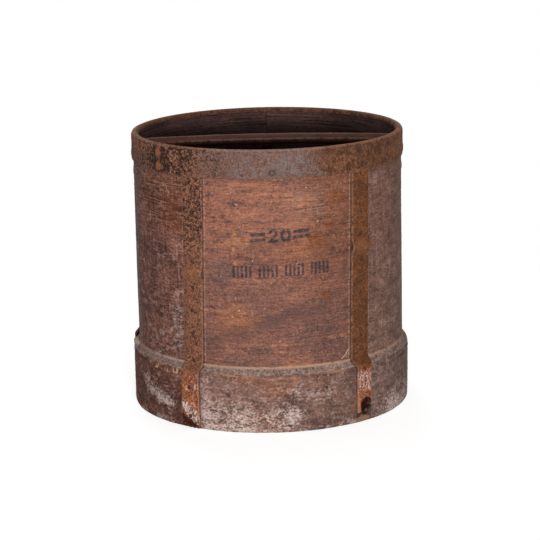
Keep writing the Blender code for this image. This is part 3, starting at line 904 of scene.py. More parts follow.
def rim_profile():
    """Hook section of the rim band as points: radius, share in the outer leg, height."""
    middle = LIP_IN + RIM_ROUND
    leg = np.linspace(RIM_LOW + 0.0014, RIM_SPRING, 32)
    turn = np.linspace(0.0, math.pi, 21)[1:-1]
    lip_low = HEIGHT - RIM_LIP
    hidden_top = HEIGHT - RIM_THICK
    points = [(RIM_OUT - 0.0007, 1.0, RIM_LOW), (RIM_OUT - 0.0002, 1.0, RIM_LOW + 0.0005)]
    points += [(RIM_OUT, 1.0, level) for level in leg]
    for out, up in zip(np.cos(turn), np.sin(turn)):
        points.append((middle + RIM_ROUND * out, 0.5 + 0.5 * out, RIM_SPRING + RIM_ROUND * up))
    points += [(LIP_IN, 0.0, level) for level in (RIM_SPRING, (RIM_SPRING + lip_low) / 2, lip_low)]
    points += [(LIP_OUT, 0.0, lip_low), (LIP_OUT, 0.0, hidden_top), (RIM_IN, 1.0, hidden_top)]
    points += [(RIM_IN, 1.0, level) for level in np.linspace(RIM_SPRING, RIM_LOW + 0.0003, 5)]
    return points


def rim_tree():
    """Tree that sweeps the rim band's section round the mouth, over the strap ends, dented and crusted."""
    tree, paint, entry, close = new_tree("swept_rim_band", "Profile", RIM_INPUTS, "Band")
    rows = entry("Rows")
    grid = paint.node("GeometryNodeMeshGrid", None, {
        "Size X": 1.0, "Size Y": 1.0, "Vertices X": entry("Columns") + 1, "Vertices Y": rows + 1})
    across, up, _ = paint.parts(paint.node("GeometryNodeInputPosition"))
    row = ((up + 0.5) * rows).math("ROUND").math("FLOORED_MODULO", rows)
    profile = paint.node("GeometryNodeSampleIndex", {"data_type": "FLOAT_VECTOR"}, {
        "Geometry": entry("Profile"), "Value": paint.node("GeometryNodeInputPosition"), "Index": row})
    radius, outer, height = paint.parts(profile)
    azimuth = (across + 0.5) * 360.0 + RIM_SEAM
    turn = azimuth * math.radians(1.0)
    ahead = turn.math("SINE")
    aside = -turn.math("COSINE")
    where = paint.vector(ahead * RIM_OUT, aside * RIM_OUT, height)
    seed = entry("Seed")

    def away_from(centre):
        return (azimuth - centre + 180.0).math("FLOORED_MODULO", 360.0) - 180.0

    def swing(scale, detail, offset):
        return (paint.noise(where, scale, detail, 0.6, seed=seed + offset) - 0.5) * 2.0

    def over_strap(centre):
        return paint.ramp(abs(away_from(centre + LEAN_MOST)), STRAP_TURN + 1.9, STRAP_TURN - 0.1)

    bulge = strongest(*(over_strap(centre) for centre in STRAP_AZIMUTH.values()))
    settle = 1 - paint.ramp(height, STRAP_TOP - 0.002, HEIGHT - 0.001) * 0.8
    lift = entry("Bulge") * bulge * settle
    lift = lift + swing(scale=36.0, detail=2.0, offset=0.0) * entry("Dent depth")
    lift = lift + swing(scale=230.0, detail=4.0, offset=1.0) * entry("Crust depth")
    for centre, level, wide, high in RIM_MARKS:
        sideways = away_from(centre) * (math.radians(1.0) * RIM_OUT / wide)
        upwards = (height - level) / wide
        lift = lift + (-(sideways * sideways + upwards * upwards)).math("EXPONENT") * high
    radius = radius + lift * outer

    foot = paint.ramp(height, RIM_LOW + 0.008, RIM_LOW) * outer
    lip = paint.ramp(height, RIM_SPRING + 0.002, HEIGHT - RIM_LIP) * (1 - outer)
    crown = paint.ramp(height, RIM_SPRING, HEIGHT)
    foot_wave = swing(scale=60.0, detail=3.0, offset=2.0) * entry("Edge wave")
    lip_wave = swing(scale=75.0, detail=3.0, offset=3.0) * entry("Edge wave")
    crown_wear = swing(scale=180.0, detail=3.0, offset=4.0) * 0.00020 + 0.00025
    height = height + foot * (foot_wave - bulge * 0.0009) + lip * lip_wave - crown * crown_wear
    moved = paint.node("GeometryNodeSetPosition", None, {
        "Geometry": grid, "Position": paint.vector(ahead * radius, aside * radius, height)})
    close(paint.node("GeometryNodeMergeByDistance", None, {"Geometry": moved, "Distance": 0.00002}))
    return tree


def make_rim_band(material):
    """Rim band: sheet folded over the lip and the strap ends, its end lapped into a riveted tongue."""
    profile = rim_profile()
    source = bpy.data.meshes.new("rim_profile")
    source.from_pydata(profile, [], [])
    settings = {"Columns": 900, "Rows": len(profile), "Bulge": RIM_BULGE, "Dent depth": 0.00045,
                "Crust depth": 0.00022, "Edge wave": 0.0009, "Seed": 31.0, "Finish": material}
    swept = plain_mesh("swept_rim_band", source, rim_tree(), settings)
    points = np.array([point.co for point in swept.vertices])
    band = (points, [list(face.vertices) for face in swept.polygons])
    bpy.data.meshes.remove(swept)

    # Tongue, from its end to where it leaves the band, with a burr on its upper edge
    burr_azimuth = -49.9
    burr_height = 0.0024
    tongue_root = RIM_SEAM + 3.0
    tongue_low = RIM_LOW + 0.0006
    tongue_turn = np.linspace(TONGUE_END, tongue_root, 40)[:, None]
    lapped = CLEARANCE + TONGUE_THICK
    step = lapped * ease(tongue_root, RIM_SEAM + 1.2, tongue_turn)
    burr = burr_height * dimple(tongue_turn - burr_azimuth, 0.0, 0.55, 1.0)
    tongue_top = HEIGHT - 0.0012 + burr
    level = tongue_low + (tongue_top - tongue_low) * np.linspace(0.0, 1.0, 36)[None, :]
    over = np.clip((level - RIM_SPRING) / RIM_ROUND, 0.0, 0.92)
    seat = RIM_OUT - RIM_ROUND * (1 - np.sqrt(1 - over ** 2))
    inset = np.minimum(level - level[:, :1], level[:, -1:] - level)
    border = np.minimum(inset, np.radians(tongue_turn - TONGUE_END) * RIM_OUT)
    rusted = crust(np.radians(tongue_turn) * RIM_OUT / 0.0045, level / 0.0045, 32) * 0.00020
    face = seat + step + rusted - 0.0005 * np.clip(1 - border / 0.0012, 0, 1)
    back = seat + step - TONGUE_THICK
    front = place(face, tongue_turn, level)
    behind = place(back, tongue_turn, level)[:, ::-1]
    tongue = skin(np.concatenate([front, behind], axis=1))
    add_bodies("folded_rim_band", [band, tongue], material, "rim_iron", "rim_band")


# Nail and rivet heads, as instances on points
HEAD_INPUTS = (("Sides", "NodeSocketInt"), ("Rings", "NodeSocketInt"), ("Flatness", "NodeSocketFloat"),
               ("Unevenness", "NodeSocketFloat"), ("Seed", "NodeSocketInt"),
               ("Finish", "NodeSocketMaterial"))


def head_tree():
    """Tree that puts a hammered head on every point, turned to its facing, with its width and rise."""
    tree, paint, entry, close = new_tree("hammered_heads", "Points", HEAD_INPUTS, "Heads")

    def stored(name, kind):
        return paint.node("GeometryNodeInputNamedAttribute", {"data_type": kind}, {"Name": name})

    ball = paint.node("GeometryNodeMeshUVSphere", None,
                      {"Segments": entry("Sides"), "Rings": entry("Rings"), "Radius": 1.0})
    x, y, z = paint.parts(paint.node("GeometryNodeInputPosition"))
    crown = z.math("SIGN") * abs(z) ** entry("Flatness")
    head = paint.node("GeometryNodeSetPosition", None,
                      {"Geometry": ball, "Position": paint.vector(x, y, crown)})
    half = stored("width", "FLOAT") * 0.5
    stretch = paint.node("FunctionNodeRandomValue", {"data_type": "FLOAT"},
                         {2: 0.88, 3: 1.12, "Seed": entry("Seed")}, 1)
    size = paint.vector(half * stretch, half / stretch, stored("rise", "FLOAT"))
    facing = paint.node("FunctionNodeAlignRotationToVector", {"axis": "Z"},
                        {"Vector": stored("facing", "FLOAT_VECTOR")})
    heads = paint.node("GeometryNodeInstanceOnPoints", None, {
        "Points": entry("Points"), "Instance": head, "Rotation": facing, "Scale": size})
    spin = paint.node("FunctionNodeRandomValue", {"data_type": "FLOAT"},
                      {2: 0.0, 3: math.tau, "Seed": entry("Seed") + 1}, 1)
    spun = paint.node("GeometryNodeRotateInstances", None, {
        "Instances": heads, "Rotation": paint.vector(0.0, 0.0, spin)})
    solid = paint.node("GeometryNodeRealizeInstances", None, {"Geometry": spun})
    dents = paint.noise(paint.node("GeometryNodeInputPosition"), scale=420.0) - 0.5
    push = paint.shade(paint.node("GeometryNodeInputNormal"), dents * entry("Unevenness"))
    close(paint.node("GeometryNodeSetPosition", None, {"Geometry": solid, "Offset": push}))
    return tree


def make_heads(name, tree, heads, settings, slot, nodes):
    """Plain mesh of all the heads of one kind. A head is its point, facing, width and rise."""
    points = bpy.data.meshes.new(name + "_points")
    points.from_pydata([head[0] for head in heads], [], [])
    facing = points.attributes.new("facing", "FLOAT_VECTOR", "POINT")
    facing.data.foreach_set("vector", np.array([head[1] for head in heads], np.float32).ravel())
    for column, attribute in ((2, "width"), (3, "rise")):
        stored = points.attributes.new(attribute, "FLOAT", "POINT")
        stored.data.foreach_set("value", np.array([head[column] for head in heads], np.float32))
    made = plain_mesh(name, points, tree, settings)
    for stale in ("facing", "width", "rise"):
        if stale in made.attributes:
            made.attributes.remove(made.attributes[stale])
    add_piece(name, made, slot, *nodes)


def head_at(radius, azimuth, height, width, rise, inward=False):
    """A head on a face at a radius, its middle sunk into the face."""
    turn = math.radians(azimuth)
    out = Vector((math.sin(turn), -math.cos(turn), 0.0))
    point = out * radius + Vector((0.0, 0.0, height))
    return tuple(point), tuple(-out if inward else out), width, rise


def make_fasteners(nail_material, rivet_material):
    """All nail heads as one piece and all rivet heads as another."""
    nail = 0.0047
    nail_rise = 0.0011
    heads = []
    nodes = []
    for strap in STRAPS:
        face = strap_face(strap)
        azimuth = STRAP_AZIMUTH[strap]
        marks = []
        for mark in ("1", "2", "3", "4", "foot"):
            node = f"nail_{strap}_{mark}"
            nodes.append(node)
            height = height_of(node)
            marks.append((azimuth_of(node) + float(strap_lean(height)) * 0.8, height, nail))
        for order, height in enumerate(EXTRA_STRAP_NAILS[strap]):
            aside = 0.35 if order % 2 else -0.25
            marks.append((azimuth + float(strap_lean(height)) + aside, height, nail * 0.92))
        for turn, height, width in marks:
            turn += FOOT_SHIFT.get(strap, 0.0) if height < CHAMFER_LOW else 0.0
            heads.append(head_at(face(height), turn, height, width, nail_rise))
        heads.append(head_at(RIM_OUT + RIM_BULGE, azimuth + LEAN_MOST, STRAP_CAP_NAIL,
                             nail * 0.9, nail_rise * 0.9))
    worn_hoop = HOOP_OUT - 0.0002
    for kind, radius in (("hoop", worn_hoop), ("base", worn_hoop), ("rim", RIM_OUT)):
        for count in range(1, 5):
            node = f"{kind}_nail_{count}"
            nodes.append(node)
            heads.append(head_at(radius, azimuth_of(node), height_of(node), nail, nail_rise * 0.7))
    tree = head_tree()
    settings = {"Sides": 16, "Rings": 9, "Flatness": 0.8, "Unevenness": 0.0007, "Seed": 5,
                "Finish": nail_material}
    make_heads("forged_nail_heads", tree, heads, settings, "nail_iron", nodes)

    rivet = 0.0106
    rivet_rise = 0.0013
    heads = []
    nodes = list(RIM_RIVETS)
    for node in RIM_RIVETS:
        face = RIM_OUT + CLEARANCE + TONGUE_THICK
        heads.append(head_at(face, azimuth_of(node), height_of(node), rivet, rivet_rise))
    for side, azimuth in (("left", -90.0), ("right", 90.0)):
        for mark, face in (("upper", RIM_OUT), ("lower", WALL_OUT)):
            node = f"crossbar_rivet_{side}_{mark}"
            nodes.append(node)
            height = height_of(node)
            heads.append(head_at(face, azimuth, height, rivet * 0.9, rivet_rise * 0.6))
            heads.append(head_at(BAR_TAB, azimuth, height, rivet * 0.85, rivet_rise, inward=True))
    settings = {"Sides": 24, "Rings": 12, "Flatness": 0.5, "Unevenness": 0.0007, "Seed": 9,
                "Finish": rivet_material}
    make_heads("hammered_rivet_heads", tree, heads, settings, "rim_iron", nodes)


# Finishes
def stencil(paint, arc_middle, upper, lower):
    """Mask of stencilled marks: a numeral between bars, and under it four groups of five tally strokes."""
    x = paint.arc - arc_middle

    def distance(run, rise):
        return (run * run + rise * rise).math("SQRT")

    def ring(across, up, wide, tall, stroke):
        share = distance(across / wide, up / tall)
        return abs(share - 1) * min(wide, tall) - stroke

    def bar(across, up, half_long, half_high):
        return (abs(across) - half_long).most(abs(up) - half_high)

    thick = 0.0015
    tilt = 0.060
    two_middle = -0.0070
    zero_middle = 0.0068
    bars_middle = 0.0238
    z = paint.height - upper - x * tilt
    left = x - two_middle
    bowl_up = z - 0.0031
    bowl = ring(left, bowl_up, 0.0036, 0.0034, thick).most(-(bowl_up.most(left)))
    run = -0.0064
    drop = -0.0074
    fall_x = left - 0.0031
    fall_z = z - 0.0018
    along = ((fall_x * run + fall_z * drop) / (run ** 2 + drop ** 2)).least(1.0).most(0.0)
    fall = distance(fall_x - along * run, fall_z - along * drop) - thick
    two = bowl.least(fall).least(bar(left, z + 0.0056, 0.0054, thick))
    right = x - zero_middle
    zero = ring(right, z, 0.0042, 0.0058, thick * 1.15).most(0.0004 - abs(right))
    flank = bar(abs(x) - bars_middle, abs(z) - 0.0031, 0.0085, 0.0017)
    row = two.least(zero).least(flank)

    pitch = 0.0046
    group = 0.0286
    half_row = 0.0540
    half_stroke = 0.0013
    half_tall = 0.0068
    lower_tilt = 0.024
    span = x + half_row - 0.0010
    place_in = (span / group).math("FRACT") * group
    stroke = abs((place_in / pitch).math("FRACT") - 0.5) * pitch - half_stroke
    height = abs(paint.height - lower - x * lower_tilt) - half_tall
    tally = strongest(stroke, place_in - 5 * pitch, height, abs(span - half_row) - half_row)
    return paint.ramp(row.least(tally), 0.0004, -0.0005)


def wall_wood():
    """Reddish brown bentwood, worn by hands, darker on the left, dusty on the right and dark inside;
    painted shade at the front right, under the band and inside below the rim, and a painted grey sheen at
    the sides.
    """
    paint = Finish("worn_bent_wood", specular=0.08)
    fibre = paint.grain(42, 720, 4.0, 0.64)
    fleck = paint.grain(190, 500, 4.0, 0.72)
    speck = paint.grain(430, 560, 3.0, 0.70)
    cloud = paint.grain(14, 26, 4.0, 0.60, 0.6)
    patch = paint.grain(40, 85, 5.0, 0.66, 0.5)
    wash = paint.grain(30, 52, 6.0, 0.70, 0.7)
    tuft = paint.grain(110, 170, 5.0, 0.74, 0.4)
    streak = paint.grain(260, 26, 4.0, 0.66)
    figure = paint.grain(15, 210, 4.0, 0.62, 0.5)
    pore = paint.grain(560, 130, 3.0, 0.62)
    left = paint.by_azimuth(-33, -35)
    right = paint.by_azimuth(39, 42)
    upper = paint.by_height(0.11, 0.25)

    # Front, left and right panels between the straps, each with its own patches
    red_share = paint.ramp(cloud, 0.38, 0.62) * 0.40 + upper * 0.60
    paint.tone = paint.mix(red_share, (0.195, 0.094, 0.073), (0.325, 0.134, 0.086))
    plum = paint.ramp(patch * 0.55 + figure * 0.45, 0.50, 0.38)
    plum = plum.most(paint.spot(-21.0, 0.1780, 0.0280, 0.8, patch) * 0.8)
    paint.coat(plum * 0.70, (0.152, 0.086, 0.080))
    amber = strongest(
        paint.ramp(wash * 0.6 + figure * 0.4, 0.52, 0.63),
        paint.spot(-14.0, 0.1280, 0.0190, 1.5, patch) * 0.9,
        paint.spot(15.0, 0.2060, 0.0150, 1.8, patch) * 0.8,
    )
    paint.coat(amber * 0.60, (0.430, 0.165, 0.076))
    # Painted shade: the front panel darker towards the right, as if lit from the left
    shadow = 0.13 + upper * 0.16 - paint.by_height(0.100, 0.084) * 0.07
    paint.dim(1 - paint.by_azimuth(12, 21) * shadow)
    paint.coat(paint.by_azimuth(10, 24) * upper * 0.46, (0.230, 0.092, 0.050))
    paint.dim(1 - paint.spot(3.0, 0.2000, 0.0260, 2.4, patch) * 0.16)
    paint.dim(1 - paint.spot(30.0, 0.2100, 0.0280, 0.8) * 0.15)
    dusky = paint.mix(paint.ramp(cloud, 0.36, 0.62), (0.120, 0.055, 0.044), (0.235, 0.103, 0.074))
    paint.coat(left, dusky)
    dusty = paint.mix(paint.ramp(wash, 0.36, 0.62), (0.150, 0.082, 0.064), (0.245, 0.140, 0.106))
    ruddy = paint.ramp(paint.height + (patch - 0.5) * 0.10, 0.150, 0.215)
    dusty = paint.mix(ruddy * 0.50, dusty, (0.205, 0.092, 0.068))
    paint.coat(right, dusty)

    # Fibres, flecks and rubbed places, with upright streaks on the sides and long level grain behind
    behind = paint.ramp(abs(paint.azimuth), 76, 92)
    upright = 1 - behind * 0.85
    busy = (fleck - 0.5) * 2.3 + (speck - 0.5) * 2.2 + (fibre - 0.5) * (1.1 + behind * 0.9)
    busy = busy + (pore - 0.5) * upright * 0.8
    light = 1 + busy * (0.84 + left * 0.56 + right * 0.12) + (figure - 0.5) * (0.7 + behind * 1.5)
    light = light + (streak - 0.5) * upright * (left * 1.4 + right * 0.8)
    light = light + (tuft - 0.5) * (left * 1.8 + 0.9) + (patch - 0.5) * (0.6 + right * 0.8)
    paint.dim(light.most(0.40) * 0.985)
    gash = paint.ramp(fibre * 0.38 + fleck * 0.50 + pore * 0.12, 0.408, 0.328)
    paint.coat(gash * (0.36 + upper * 0.16), (0.058, 0.031, 0.026))
    rubbed = paint.spot(16.0, 0.2520, 0.0240, 1.3, tuft) * paint.ramp(fibre, 0.42, 0.58) * 0.9
    rubbed = rubbed.most(paint.ramp(wash * 0.6 + tuft * 0.4, 0.53, 0.66)) * paint.ramp(fleck, 0.34, 0.56)
    paint.coat(rubbed * 0.38, (0.470, 0.295, 0.225))
    paint.coat(paint.ramp(speck, 0.645, 0.735) * 0.75, (0.600, 0.460, 0.380))
    paint.coat(paint.ramp(speck, 0.31, 0.23) * 0.50, (0.050, 0.031, 0.027))
    nick = paint.grain(250, 290, 0.0) + (speck - 0.5) * 0.10
    paint.coat(paint.ramp(nick, 0.815, 0.855) * 0.70, (0.620, 0.480, 0.400))

    # Stains: a dark sweep and warm spots in front, ridges and drips on the left, dusty sides, painted
    # shade under the band and a painted grey sheen where the sides turn away
    sweep = paint.height - 0.1228 - paint.arc * 0.32 + (patch - 0.5) * 0.036
    swept = paint.ramp(abs(sweep), 0.013, 0.001) * paint.sector(-30, 25, 7) * paint.ramp(tuft, 0.34, 0.54)
    paint.coat(swept * 0.60, (0.098, 0.057, 0.050))
    dashes = paint.spot(-23.0, 0.2380, 0.0150, 1.5, patch) * paint.ramp(fleck, 0.50, 0.40)
    paint.coat(dashes * 0.65, (0.085, 0.045, 0.038))
    ridged = paint.sector(-68, -38, 2) * paint.level(0.222, 0.284, 0.012) * paint.ramp(patch, 0.34, 0.50)
    paint.coat(ridged * 0.70, paint.shade((0.170, 0.058, 0.026), light.most(0.3)))
    ladder = ridged * paint.ramp(fibre, 0.52, 0.60)
    paint.coat(ladder * 0.55, (0.420, 0.255, 0.190))
    rung = ridged * paint.ramp(fibre, 0.47, 0.38)
    paint.coat(rung * 0.70, (0.045, 0.022, 0.017))
    for azimuth, height, size, stretch in ((28.5, 0.2560, 0.0110, 1.6), (25.5, 0.2290, 0.0075, 0.9),
                                           (20.0, 0.2120, 0.0080, 1.3), (24.0, 0.1490, 0.0070, 1.0)):
        stain = paint.spot(azimuth, height, size, stretch, tuft)
        paint.coat(stain * 0.60, paint.shade((0.235, 0.075, 0.030), light.most(0.4)))
    burnt = paint.sector(-50, -38, 3) * paint.level(0.215, 0.262, 0.008) * paint.ramp(fleck, 0.55, 0.42)
    paint.coat(burnt * 0.85, (0.165, 0.042, 0.012))
    seen_left = left * paint.by_azimuth(-110, -74) * 0.6 + left * 0.4
    dark_drip = paint.ramp(streak, 0.46, 0.32) * seen_left * upright
    paint.coat(dark_drip * 0.50, (0.055, 0.030, 0.026))
    pale_drip = paint.ramp(streak * 0.6 + tuft * 0.4, 0.52, 0.66) * upright
    paint.coat(pale_drip * (seen_left * 0.5 + right * 0.80) * 0.50, (0.440, 0.320, 0.270))
    scuffed = paint.ramp(tuft + (speck - 0.5) * 0.5, 0.55, 0.68) * paint.ramp(wash, 0.36, 0.56)
    paint.coat(scuffed * seen_left * 0.70, (0.500, 0.370, 0.330))
    haze = paint.sector(-45.0, -39.6, 1.5) * paint.level(0.086, 0.136, 0.008)
    for azimuth, height, climb in ((-53.8, 0.0971, 0.00117), (-49.6, 0.0816, 0.00103)):
        across = paint.height - height - (paint.azimuth - azimuth) * climb + (tuft - 0.5) * 0.008
        haze = haze.most(paint.ramp(abs(across), 0.0042, 0.0006) * paint.sector(-65, -41, 4))
    paint.coat(haze * paint.ramp(tuft * 0.5 + fleck * 0.5, 0.44, 0.60) * 0.60, (0.520, 0.400, 0.360))
    # Painted sheen: a grey veil where the wall turns away at the sides
    painted_edge_sheen = paint.ramp(abs(paint.azimuth), 66, 84) * paint.ramp(abs(paint.azimuth), 140, 100)
    paint.coat(painted_edge_sheen * 0.22, (0.330, 0.275, 0.265))
    # Painted shade: a dark band on the wall just below the rim band
    painted_shade_under_band = paint.by_height(RIM_LOW - 0.008, RIM_LOW - 0.001) * paint.ramp(tuft, 0.40, 0.60)
    paint.coat(painted_shade_under_band * 0.50, (0.095, 0.050, 0.037))

    # Orange spots of bare wood and a pale scratch low on the right
    for azimuth, height, size, stretch in ((-14.0, 0.2213, 0.0042, 0.8), (-14.7, 0.2040, 0.0026, 0.8),
                                           (-14.1, 0.1893, 0.0030, 0.8)):
        bare = paint.spot(azimuth, height, size, stretch, tuft)
        paint.coat(bare * 0.55, paint.shade((0.600, 0.240, 0.085), light.most(0.5)))
    line = paint.height - 0.0741 - (paint.arc - 0.0812) * 1.10 + (tuft - 0.5) * 0.006
    scratch = paint.ramp(abs(line), 0.0011, 0.0003) * paint.level(0.0750, 0.0875, 0.001)
    scratch = scratch * paint.sector(30, 36, 0.5)
    paint.coat(scratch * 0.85, (0.640, 0.480, 0.360))

    # Pale dust and a painted shadow line where the wall meets the straps, and pale dust where it meets the
    # hoop
    gap = paint.strap_gap()
    bright_line = paint.ramp(abs(gap - 0.0020), 0.0011, 0.0003) * paint.ramp(fleck, 0.40, 0.58)
    paint.coat(bright_line * (0.56 - left * 0.32), (0.510, 0.315, 0.230))
    # Painted shadow: a dark line along each strap's edge
    shadow_line_gap = gap + (tuft - 0.5) * 0.0026
    paint.coat(paint.ramp(shadow_line_gap, 0.0011, 0.0004) * 0.55, (0.044, 0.026, 0.021))
    ledge = paint.by_height(HOOP_TOP + 0.0024, HOOP_TOP + 0.0008) * paint.ramp(tuft, 0.30, 0.50)
    paint.coat(ledge * 0.80, paint.mix(left, (0.540, 0.335, 0.225), (0.540, 0.410, 0.350)))

    # Worn ink of the stencilled marks
    ink = stencil(paint, arc_middle=0.0115, upper=0.2190, lower=0.1805)
    ink = ink * paint.ramp(tuft * 0.5 + fleck * 0.5, 0.66, 0.50)
    paint.coat(ink * 0.88, paint.shade((0.045, 0.040, 0.044), light.most(0.4)))

    # Dark inside, darkest in a band below the rim: a painted shadow of the near rim and the bar on the far
    # wall, lighter again lower down
    inside = paint.ramp(paint.radius, 0.1502, 0.1490)
    dark = paint.mix(paint.ramp(cloud, 0.35, 0.65), (0.036, 0.020, 0.018), (0.066, 0.034, 0.030))
    tool_line = paint.grain(9, 1100, 3.0, 0.60)
    lines = 1 + (tool_line - 0.5) * 4.0 + (fibre - 0.5) * 1.6 + (fleck - 0.5) * 2.6
    dark = paint.shade(dark, lines.most(0.2))
    # Painted shade: darker downwards from the rim to the bar's level
    deep = paint.by_height(0.258, 0.225)
    dark = paint.shade(dark, 0.32 + paint.by_height(0.284, 0.307) * 0.95 + deep * 1.6)
    dark = paint.mix(paint.ramp(speck, 0.68, 0.75) * 0.6, dark, (0.320, 0.230, 0.180))
    seam = paint.ramp(abs(paint.azimuth), 179.5, 179.8) * 0.45
    dark = paint.mix(seam, dark, (0.010, 0.006, 0.005))
    paint.coat(inside, dark)
    roughness = 0.66 + tuft * 0.26 - ink * 0.06
    relief = fibre * 0.5 + fleck * 0.7 + speck * 0.4 - gash * 0.3
    return paint.done(roughness, relief, depth=0.0007, strength=0.38)


def hoop_wood():
    """Dry grey-brown wood, dusty on its chamfer and bloomed with white powder low down."""
    paint = Finish("bloomed_hoop_wood", specular=0.06)
    fibre = paint.grain(40, 560, 4.0, 0.65)
    fleck = paint.grain(170, 430, 4.0, 0.72)
    speck = paint.grain(430, 520, 3.0, 0.72)
    cloud = paint.grain(18, 34, 4.0, 0.60, 0.8)
    tuft = paint.grain(110, 170, 5.0, 0.74, 0.4)
    powder = paint.grain(44, 62, 8.0, 0.76, 0.7)
    streak = paint.grain(330, 90, 3.0, 0.62)
    figure = paint.grain(22, 170, 5.0, 0.66, 0.5)
    right = paint.by_azimuth(39, 42)
    left = paint.by_azimuth(-32, -34)

    paint.tone = paint.mix(paint.ramp(cloud, 0.36, 0.64), (0.145, 0.080, 0.065), (0.272, 0.148, 0.113))
    paint.coat(right * 0.7, (0.205, 0.130, 0.108))
    paint.coat(left * 0.82, (0.128, 0.046, 0.032))
    stain = strongest(
        paint.spot(0.5, 0.0500, 0.0150, 1.6, powder),
        paint.spot(-10.0, 0.0560, 0.0090, 2.4, powder),
        paint.spot(-1.0, 0.0150, 0.0120, 1.4, powder),
        paint.spot(20.0, 0.0560, 0.0080, 2.0, powder) * 0.7,
    )
    paint.coat(stain * 0.55, (0.270, 0.112, 0.058))
    plum = paint.ramp(powder * 0.6 + figure * 0.4, 0.49, 0.38)
    paint.coat(plum * 0.50, (0.135, 0.083, 0.076))
    shaded = paint.sector(19, 44, 6) * paint.by_height(0.034, 0.016)
    paint.dim(1 - shaded * 0.24)
    paint.coat(paint.spot(-19.0, 0.0430, 0.0220, 1.7, powder) * 0.45, (0.370, 0.205, 0.160))

    # Damp places, most of them low down, where the wood is grainier
    slant = paint.height - 0.0305 + (paint.azimuth + 53.5) * 0.00079 + (powder - 0.5) * 0.050
    uneven_height = paint.height + (powder - 0.5) * 0.060
    behind = paint.ramp(abs(paint.azimuth), 74, 88) * paint.ramp(cloud, 0.46, 0.62)
    damp = strongest(
        paint.sector(-31, -5, 5) * paint.ramp(uneven_height, 0.052, 0.014),
        paint.spot(5.0, 0.0170, 0.0200, 1.6, powder) * 0.9,
        paint.sector(0, 26, 6) * paint.level(0.030, 0.054, 0.010) * 0.40,
        paint.ramp(abs(slant), 0.015, 0.002) * paint.sector(-66, -42, 4) * 0.86,
        paint.spot(-62.0, 0.0365, 0.0150, 0.8, powder) * 0.9,
        paint.sector(52, 86, 8) * paint.by_height(0.034, 0.008),
        paint.sector(-31, -24, 3) * paint.by_height(0.070, 0.050) * 0.7,
        paint.by_height(0.010, 0.001) * 0.65,
        behind * paint.by_height(0.056, 0.012) * 0.85,
    )
    grainy = 0.70 + damp * 0.62
    light = 1 + (fleck - 0.5) * grainy * 2.4 + (fibre - 0.5) * 1.0
    light = light + (speck - 0.5) * grainy * (3.0 + right * 0.8 + left * 1.4)
    light = light + (tuft - 0.5) * (left * 2.4 + right * 1.6 + 0.3)
    light = light + (streak - 0.5) * right * 2.0 + (figure - 0.5) * 1.2
    paint.dim(light.most(0.58) * 0.97)
    gash = paint.ramp(fleck * 0.6 + fibre * 0.4, 0.40, 0.32)
    paint.coat(gash * grainy * 0.36, (0.055, 0.035, 0.030))
    paint.coat(paint.ramp(tuft, 0.54, 0.69) * (0.26 + left * 0.16), (0.430, 0.320, 0.275))

    # Powdery white bloom on the damp places
    grain = powder * 0.46 + tuft * 0.20 + speck * 0.34
    bloom = paint.ramp(grain + damp * 0.080, 0.510, 0.630) * (0.16 + damp * 0.84)
    chalk = (0.30 + speck * 1.4 + (fleck - 0.5) * 0.8).most(0.3)
    paint.coat(bloom * 0.85, paint.shade((0.680, 0.525, 0.465), chalk))
    yellow = paint.spot(-9.0, 0.0360, 0.0150, 1.2, tuft) * bloom
    paint.coat(yellow * 0.5, (0.500, 0.380, 0.260))
    paint.coat(paint.ramp(speck, 0.625, 0.715) * 0.8, (0.640, 0.505, 0.450))
    paint.coat(paint.ramp(speck, 0.31, 0.24) * 0.60, (0.034, 0.022, 0.019))

    # Dusty chamfer, with raw wood where its arris is chipped and a heap of dust at the left
    on_chamfer = paint.by_height(CHAMFER_LOW - 0.0007, CHAMFER_LOW + 0.0007)
    smooth = 1 + (fleck - 0.5) * 2.4 + (speck - 0.5) * 4.2 + (fibre - 0.5) * 1.0
    dust = paint.shade(paint.mix(cloud, (0.215, 0.140, 0.115), (0.315, 0.214, 0.178)), smooth.most(0.25))
    dust = paint.mix(paint.ramp(tuft, 0.43, 0.33) * 0.40, dust, (0.090, 0.056, 0.047))
    paint.coat(on_chamfer * 0.92, dust)
    heap = paint.spot(HEAP_AZIMUTH, 0.0715, 0.0150, 1.4, tuft)
    paint.coat(heap * 0.75, paint.shade((0.440, 0.330, 0.260), smooth.most(0.4)))
    arris = paint.ramp(abs(paint.height - CHAMFER_LOW + 0.0010), 0.0017, 0.0004)
    chipped = strongest(
        paint.sector(-22, -7, 2) * paint.ramp(fleck, 0.44, 0.56),
        paint.sector(14, 30, 3) * paint.ramp(tuft, 0.46, 0.58) * 0.7,
        paint.ramp(powder, 0.56, 0.64) * 0.55,
        paint.sector(-60, -39, 2) * paint.ramp(tuft, 0.47, 0.56),
    )
    chips = paint.level(0.0585, 0.0640, 0.0012) * paint.ramp(streak, 0.49, 0.54)
    chips = chips * (paint.sector(-59, -51, 1) + paint.sector(-47.5, -39.5, 1)).least(1.0)
    paint.coat((arris * chipped).least(1.0) * 0.85, (0.470, 0.200, 0.090))
    paint.coat(chips * 0.95, (0.600, 0.350, 0.225))
    crest = paint.by_height(HOOP_TOP - 0.0016, HOOP_TOP - 0.0002)
    paint.coat(crest * 0.65, (0.500, 0.320, 0.220))

